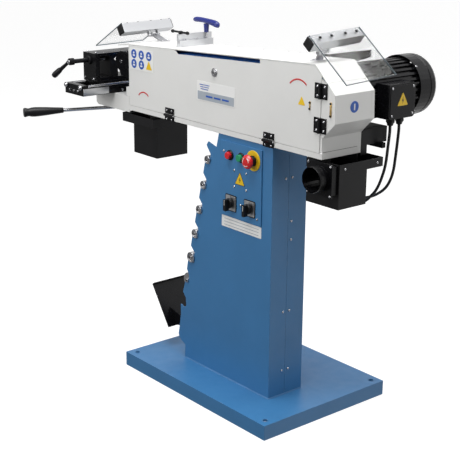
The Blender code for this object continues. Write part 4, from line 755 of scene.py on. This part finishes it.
def make_top_details():
    """Stop bracket's screws, T-handle key, wing lever and the lid's hinge."""
    x0, z0 = BRACKET_X, head_top(BRACKET_X) + 0.0003
    spots = [(P(x0 + 0.0108, y, z0 + 0.0189), UP, BACK) for y in (-0.055, -0.012)]
    screws("stop_bracket_screws", "bright_steel", "frame", spots, 0.0033, socket_screw)

    key_x, key_y = x0 + 0.0105, 0.023
    bm = bmesh.new()
    lathe(bm, [(0.0, 0.0045), (0.0026, 0.0045), (0.0026, 0.0400), (0.0, 0.0401)],
          facing(P(key_x, key_y, z0), UP, BACK), 24, hexed=(1, 2))
    done("hex_key_blade", bm, "bright_steel", "hex_key")
    bm = bmesh.new()
    lathe(bm, [(0.0, 0.0368), (0.0062, 0.0368), (0.0070, 0.0380), (0.0076, 0.0480), (0.0086, 0.0620),
               (0.0, 0.0625)],
          facing(P(key_x, key_y, z0), UP, BACK), 32)
    ring_count, turns = 22, 20           # the grip's rings, and the points of each
    rings = []
    for k in range(ring_count + 1):
        t = -1.0 + 2.0 * k / ring_count
        x = t * 0.061
        ends = max(0.0, 1.0 - abs(t) ** 9) ** 0.5
        lift = 0.0705 - 0.0042 * t - 0.0050 * t * t
        half_z = (0.0084 + 0.0014 * t - 0.0009 * cos(pi * t)) * max(ends, 0.06)
        half_y = 0.0092 * max(ends, 0.06)
        rings.append([bm.verts.new(P(key_x + x, key_y + half_y * cos(2 * pi * s / turns),
                                     z0 + lift + half_z * sin(2 * pi * s / turns))) for s in range(turns)])
    for one, two in zip(rings, rings[1:]):
        for s in range(turns):
            bm.faces.new((one[s], one[(s + 1) % turns], two[(s + 1) % turns], two[s]))
    bm.faces.new(rings[0])
    bm.faces.new(rings[-1][::-1])
    grip = done("hex_key_grip", bm, "key_blue", "hex_key", 40.0)
    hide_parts("hex_key")

    wing_z = z0 + 0.037 + 0.0003 + 0.0050
    bm = bmesh.new()
    for side in (-1, 1):
        plane = facing(P(x0 + side * 0.0355, -0.068, wing_z), RIGHT * side)
        lathe(bm, [(0.0, -0.006), (0.0034, -0.006), (0.0048, -0.0040), (0.0054, 0.0), (0.0046, 0.0036),
                   (0.0022, 0.0054), (0.0, 0.0056)], plane, 24)
    done("wing_lever_balls", bm, "black_plastic", "wing_lever")
    bm = bmesh.new()
    for x in (-0.2012, -0.0312, 0.1188):
        lathe(bm, [(0.0, 0.0), (0.0030, 0.0), (0.0030, 0.034), (0.0, 0.034)],
              facing(P(x, 0.0268, head_top(x) - 0.0015), Vector((1.0, 0.0, TOP_SLOPE)).normalized(), UP), 16)
    done("lid_hinge_knuckles", bm, "housing_grey", "frame")


# ---------------------------------------------------------------- vise and feed
SCREW_AXIS = (-0.588, 0.930)
THREAD_TURNS, THREAD_PITCH = 11, 0.0050


def make_vise_details():
    """Scale and screws of the slide and the vise, and the clamp screw's thread and lever."""
    bm = bmesh.new()
    slab(bm, P(-0.5365, -0.188, 0.8385), (0.0012, 0.094, 0.021), 0.0004)
    done("slide_scale", bm, "aluminium", "feed_slide")
    spots = [(P(x, -0.2390, 0.8530), FRONT, UP) for x in (-0.630, -0.548)]
    screws("guide_bar_caps", "bright_steel", "feed_slide", spots, 0.0080)
    spots = [(P(-0.5370, y, 0.8340), RIGHT, UP) for y in (-0.090, 0.000)]
    screws("slide_screws", "bright_steel", "feed_slide", spots, 0.0036, socket_screw)
    spots = [(P(x, -0.2360, 0.8400), FRONT, UP) for x in (-0.612, -0.588, -0.566)]
    screws("slide_front_screws", "bright_steel", "feed_slide", spots, 0.0034, socket_screw)
    spots = [(P(x, y, 0.952), UP, BACK) for x in (-0.611, -0.565) for y in (-0.168, 0.026)]
    screws("vise_top_screws", "bright_steel", "vise", spots, 0.0040, socket_screw)
    spots = [(P(x, -0.177, 0.873), FRONT, UP) for x in (-0.613, -0.563)]
    screws("vise_front_screws", "bright_steel", "vise", spots, 0.0034, socket_screw)

    bm = bmesh.new()
    plane = facing(P(SCREW_AXIS[0], -0.1202, SCREW_AXIS[1]), FRONT)
    thread = [(0.0, 0.0)]
    for k in range(THREAD_TURNS):
        rise = THREAD_PITCH * k
        thread += [(0.0062, rise + 0.0010), (0.0074, rise + 0.0024), (0.0074, rise + 0.0036),
                   (0.0062, rise + 0.0050)]
    thread += [(0.0, 0.0560)]
    lathe(bm, thread, plane, 28)
    done("clamp_thread", bm, "bright_steel", "clamp")
    bm = bmesh.new()
    lathe(bm, [(0.0072, 0.0), (0.0130, 0.0), (0.0136, 0.0012), (0.0136, 0.0050), (0.0128, 0.0062),
               (0.0072, 0.0064)],
          facing(P(SCREW_AXIS[0], -0.1770, SCREW_AXIS[1]), FRONT), 40)
    done("clamp_collar", bm, "dark_steel", "vise")
    bm = bmesh.new()
    tip = P(SCREW_AXIS[0] - 0.069, -0.264, SCREW_AXIS[1] - 0.049)
    knee = P(SCREW_AXIS[0] - 0.017, -0.247, SCREW_AXIS[1] - 0.005)
    way = (tip - knee).normalized()
    lathe(bm, [(0.0, -0.034), (0.0070, -0.034), (0.0086, -0.028), (0.0094, -0.012), (0.0096, -0.003),
               (0.0084, 0.0026), (0.0050, 0.0050), (0.0, 0.0056)], facing(tip, way, UP), 28)
    done("clamp_lever_grip", bm, "black_plastic", "clamp")
    bm = bmesh.new()
    socket_screw(bm, facing(P(SCREW_AXIS[0], -0.2520, SCREW_AXIS[1]), FRONT), 0.0066, 0.0030)
    done("clamp_lever_pin", bm, "bright_steel", "clamp")


def make_feed_lever():
    """Steel rod in a hub, with a waisted plastic grip."""
    pivot, end, z = Vector((-0.578, -0.050)), Vector((-0.682, -0.365)), 0.770
    reach = (end - pivot).length
    way = ((end - pivot) / reach).to_3d()
    start = P(pivot.x, pivot.y, z)
    bm = bmesh.new()
    hub = facing(P(pivot.x, pivot.y, 0.7580), UP, BACK)
    lathe(bm, [(0.0, 0.0), (0.0140, 0.0), (0.0160, 0.0015), (0.0160, 0.0165), (0.0150, 0.0178),
               (0.0072, 0.0185), (0.0070, 0.0185), (0.0070, 0.0648), (0.0, 0.0650)], hub, 40)
    base = done("feed_lever_hub", bm, "black_plastic", "feed_lever")
    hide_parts("feed_lever")
    bm = bmesh.new()
    lathe(bm, [(0.0, 0.012), (0.0058, 0.012), (0.0058, reach - 0.110), (0.0, reach - 0.110)],
          facing(start, way, UP), 24)
    done("feed_lever_rod", bm, "bright_steel", "feed_lever")
    bm = bmesh.new()
    foot = reach - 0.1265
    profile = [(0.0, 0.0), (0.0072, 0.0), (0.0086, 0.0014), (0.0092, 0.010), (0.0108, 0.030), (0.0128, 0.052),
               (0.0143, 0.074), (0.0150, 0.090), (0.0144, 0.101), (0.0126, 0.109), (0.0124, 0.112),
               (0.0138, 0.118), (0.0147, 0.1225), (0.0136, 0.1258), (0.0, 0.1268)]
    lathe(bm, profile, facing(start + way * foot, way, UP), 40)
    done("feed_lever_grip", bm, "black_plastic", "feed_lever", 50.0)


# ---------------------------------------------------------------- dust bins
def rim_rail(bm, x0, x1, y0, y1, z, lip=0.0028):
    """Rolled edge around an open bin."""
    for (ax, ay), (bx, by) in (((x0, y0), (x1, y0)), ((x1, y0), (x1, y1)), ((x1, y1), (x0, y1)),
                               ((x0, y1), (x0, y0))):
        size = (abs(bx - ax) + lip, abs(by - ay) + lip, lip)
        slab(bm, P((ax + bx) / 2, (ay + by) / 2, z), size, lip * 0.38)


def make_dust_details():
    """Rims and screws of both bins, and the exhaust port's flange and mouth."""
    bm = bmesh.new()
    rim_rail(bm, -0.4970, -0.3360, -0.1160, 0.0550, 0.7705)
    done("left_bin_rim", bm, "dark_steel", "left_hopper")
    bm = bmesh.new()
    rim_rail(bm, 0.3190, 0.4395, -0.0940, 0.0650, 0.7735)
    done("right_bin_rim", bm, "dark_steel", "right_hopper")
    spots = [(P(0.4405, y, 0.762), RIGHT, UP) for y in (-0.075, 0.045)]
    screws("right_bin_screws", "bright_steel", "right_hopper", spots, 0.0032)
    spots = [(P(x, -0.1203, z), FRONT, UP) for x in (0.3535, 0.4345) for z in (0.6960, 0.7740)]
    screws("exhaust_flange_bolts", "bright_steel", "right_hopper", spots, 0.0034, socket_screw)
    bm = bmesh.new()
    pipe = facing(P(0.394, -0.1500, 0.736), FRONT)
    lathe(bm, [(0.0316, -0.0060), (0.0336, -0.0060), (0.0344, -0.0048), (0.0344, -0.0012), (0.0338, 0.0),
               (0.0316, 0.0)], pipe, 56)
    lathe(bm, [(0.0334, -0.0200), (0.0346, -0.0190), (0.0346, -0.0170), (0.0334, -0.0160)], pipe, 56)
    done("exhaust_rim", bm, "black_paint", "right_hopper")


# ---------------------------------------------------------------- stage
SKY_LOW, SKY_HIGH = 0.22, 0.90   # soft light from the operator's side, and from behind the machine
# name, place, size and power of each lamp
LAMPS = (("key", (-0.9, -3.2, 1.7), 1.8, 52.0), ("fill", (-2.8, -1.6, 1.8), 2.2, 8.0),
         ("top", (0.5, -0.4, 3.4), 2.2, 118.0), ("rim", (1.6, 2.8, 2.4), 1.8, 5.0))
LIT_SPOT = Vector((0.0, 0.0, 0.6))


def make_floor():
    """Plain white floor that takes the machine's shadow but throws no light back."""
    bpy.ops.mesh.primitive_plane_add(size=90.0, location=(0.0, 0.0, -0.0004))
    floor = bpy.context.object
    floor.name = "floor"
    white = surface("studio_floor", (0.30, 0.30, 0.30), 0.75, grain=(40.0, 0.02), vary=0.01,
                    Emission_Color=(1.0, 1.0, 1.0, 1.0), Emission_Strength=0.80)
    floor.data.materials.append(white)
    floor.visible_diffuse = floor.visible_glossy = False


def make_world():
    """White surroundings: plain where they are seen, and softer as a light."""
    world = bpy.data.worlds.new("studio")
    world.use_nodes = True
    nodes, links = world.node_tree.nodes, world.node_tree.links
    soft, output = nodes["Background"], nodes["World Output"]
    soft.inputs["Color"].default_value = (1.0, 1.0, 1.0, 1.0)
    sky = nodes.new("ShaderNodeTexCoord")
    parts = nodes.new("ShaderNodeSeparateXYZ")
    fade = nodes.new("ShaderNodeMapRange")
    for socket, value in (("From Min", -0.1), ("From Max", 0.7), ("To Min", SKY_LOW), ("To Max", SKY_HIGH)):
        fade.inputs[socket].default_value = value
    plain = nodes.new("ShaderNodeBackground")
    plain.inputs["Strength"].default_value = 1.0
    seen = nodes.new("ShaderNodeLightPath")
    both = nodes.new("ShaderNodeMixShader")
    for source, target in ((sky.outputs["Generated"], parts.inputs[0]),
                           (parts.outputs["Y"], fade.inputs["Value"]),
                           (fade.outputs[0], soft.inputs["Strength"]),
                           (seen.outputs["Is Camera Ray"], both.inputs[0]),
                           (soft.outputs[0], both.inputs[1]),
                           (plain.outputs[0], both.inputs[2]),
                           (both.outputs[0], output.inputs[0])):
        links.new(source, target)
    bpy.context.scene.world = world


def make_lamps():
    """Four soft boxes turned to the middle of the machine."""
    for name, place, size, power in LAMPS:
        light = bpy.data.lights.new(name, "AREA")
        light.size, light.energy = size, power
        lamp = bpy.data.objects.new(name, light)
        lamp.location = place
        lamp.rotation_euler = (LIT_SPOT - Vector(place)).to_track_quat("-Z", "Y").to_euler()
        bpy.context.scene.collection.objects.link(lamp)
    bpy.context.scene.view_settings.view_transform = "Standard"


# ---------------------------------------------------------------- build
make_camera()
make_cables()
dress_frame()
make_panel_details()
make_door_plates()
make_hinge_details()
make_motor_details()
make_body_details()
make_shield_details()
make_top_details()
make_vise_details()
make_feed_lever()
make_dust_details()
make_floor()
make_world()
make_lamps()
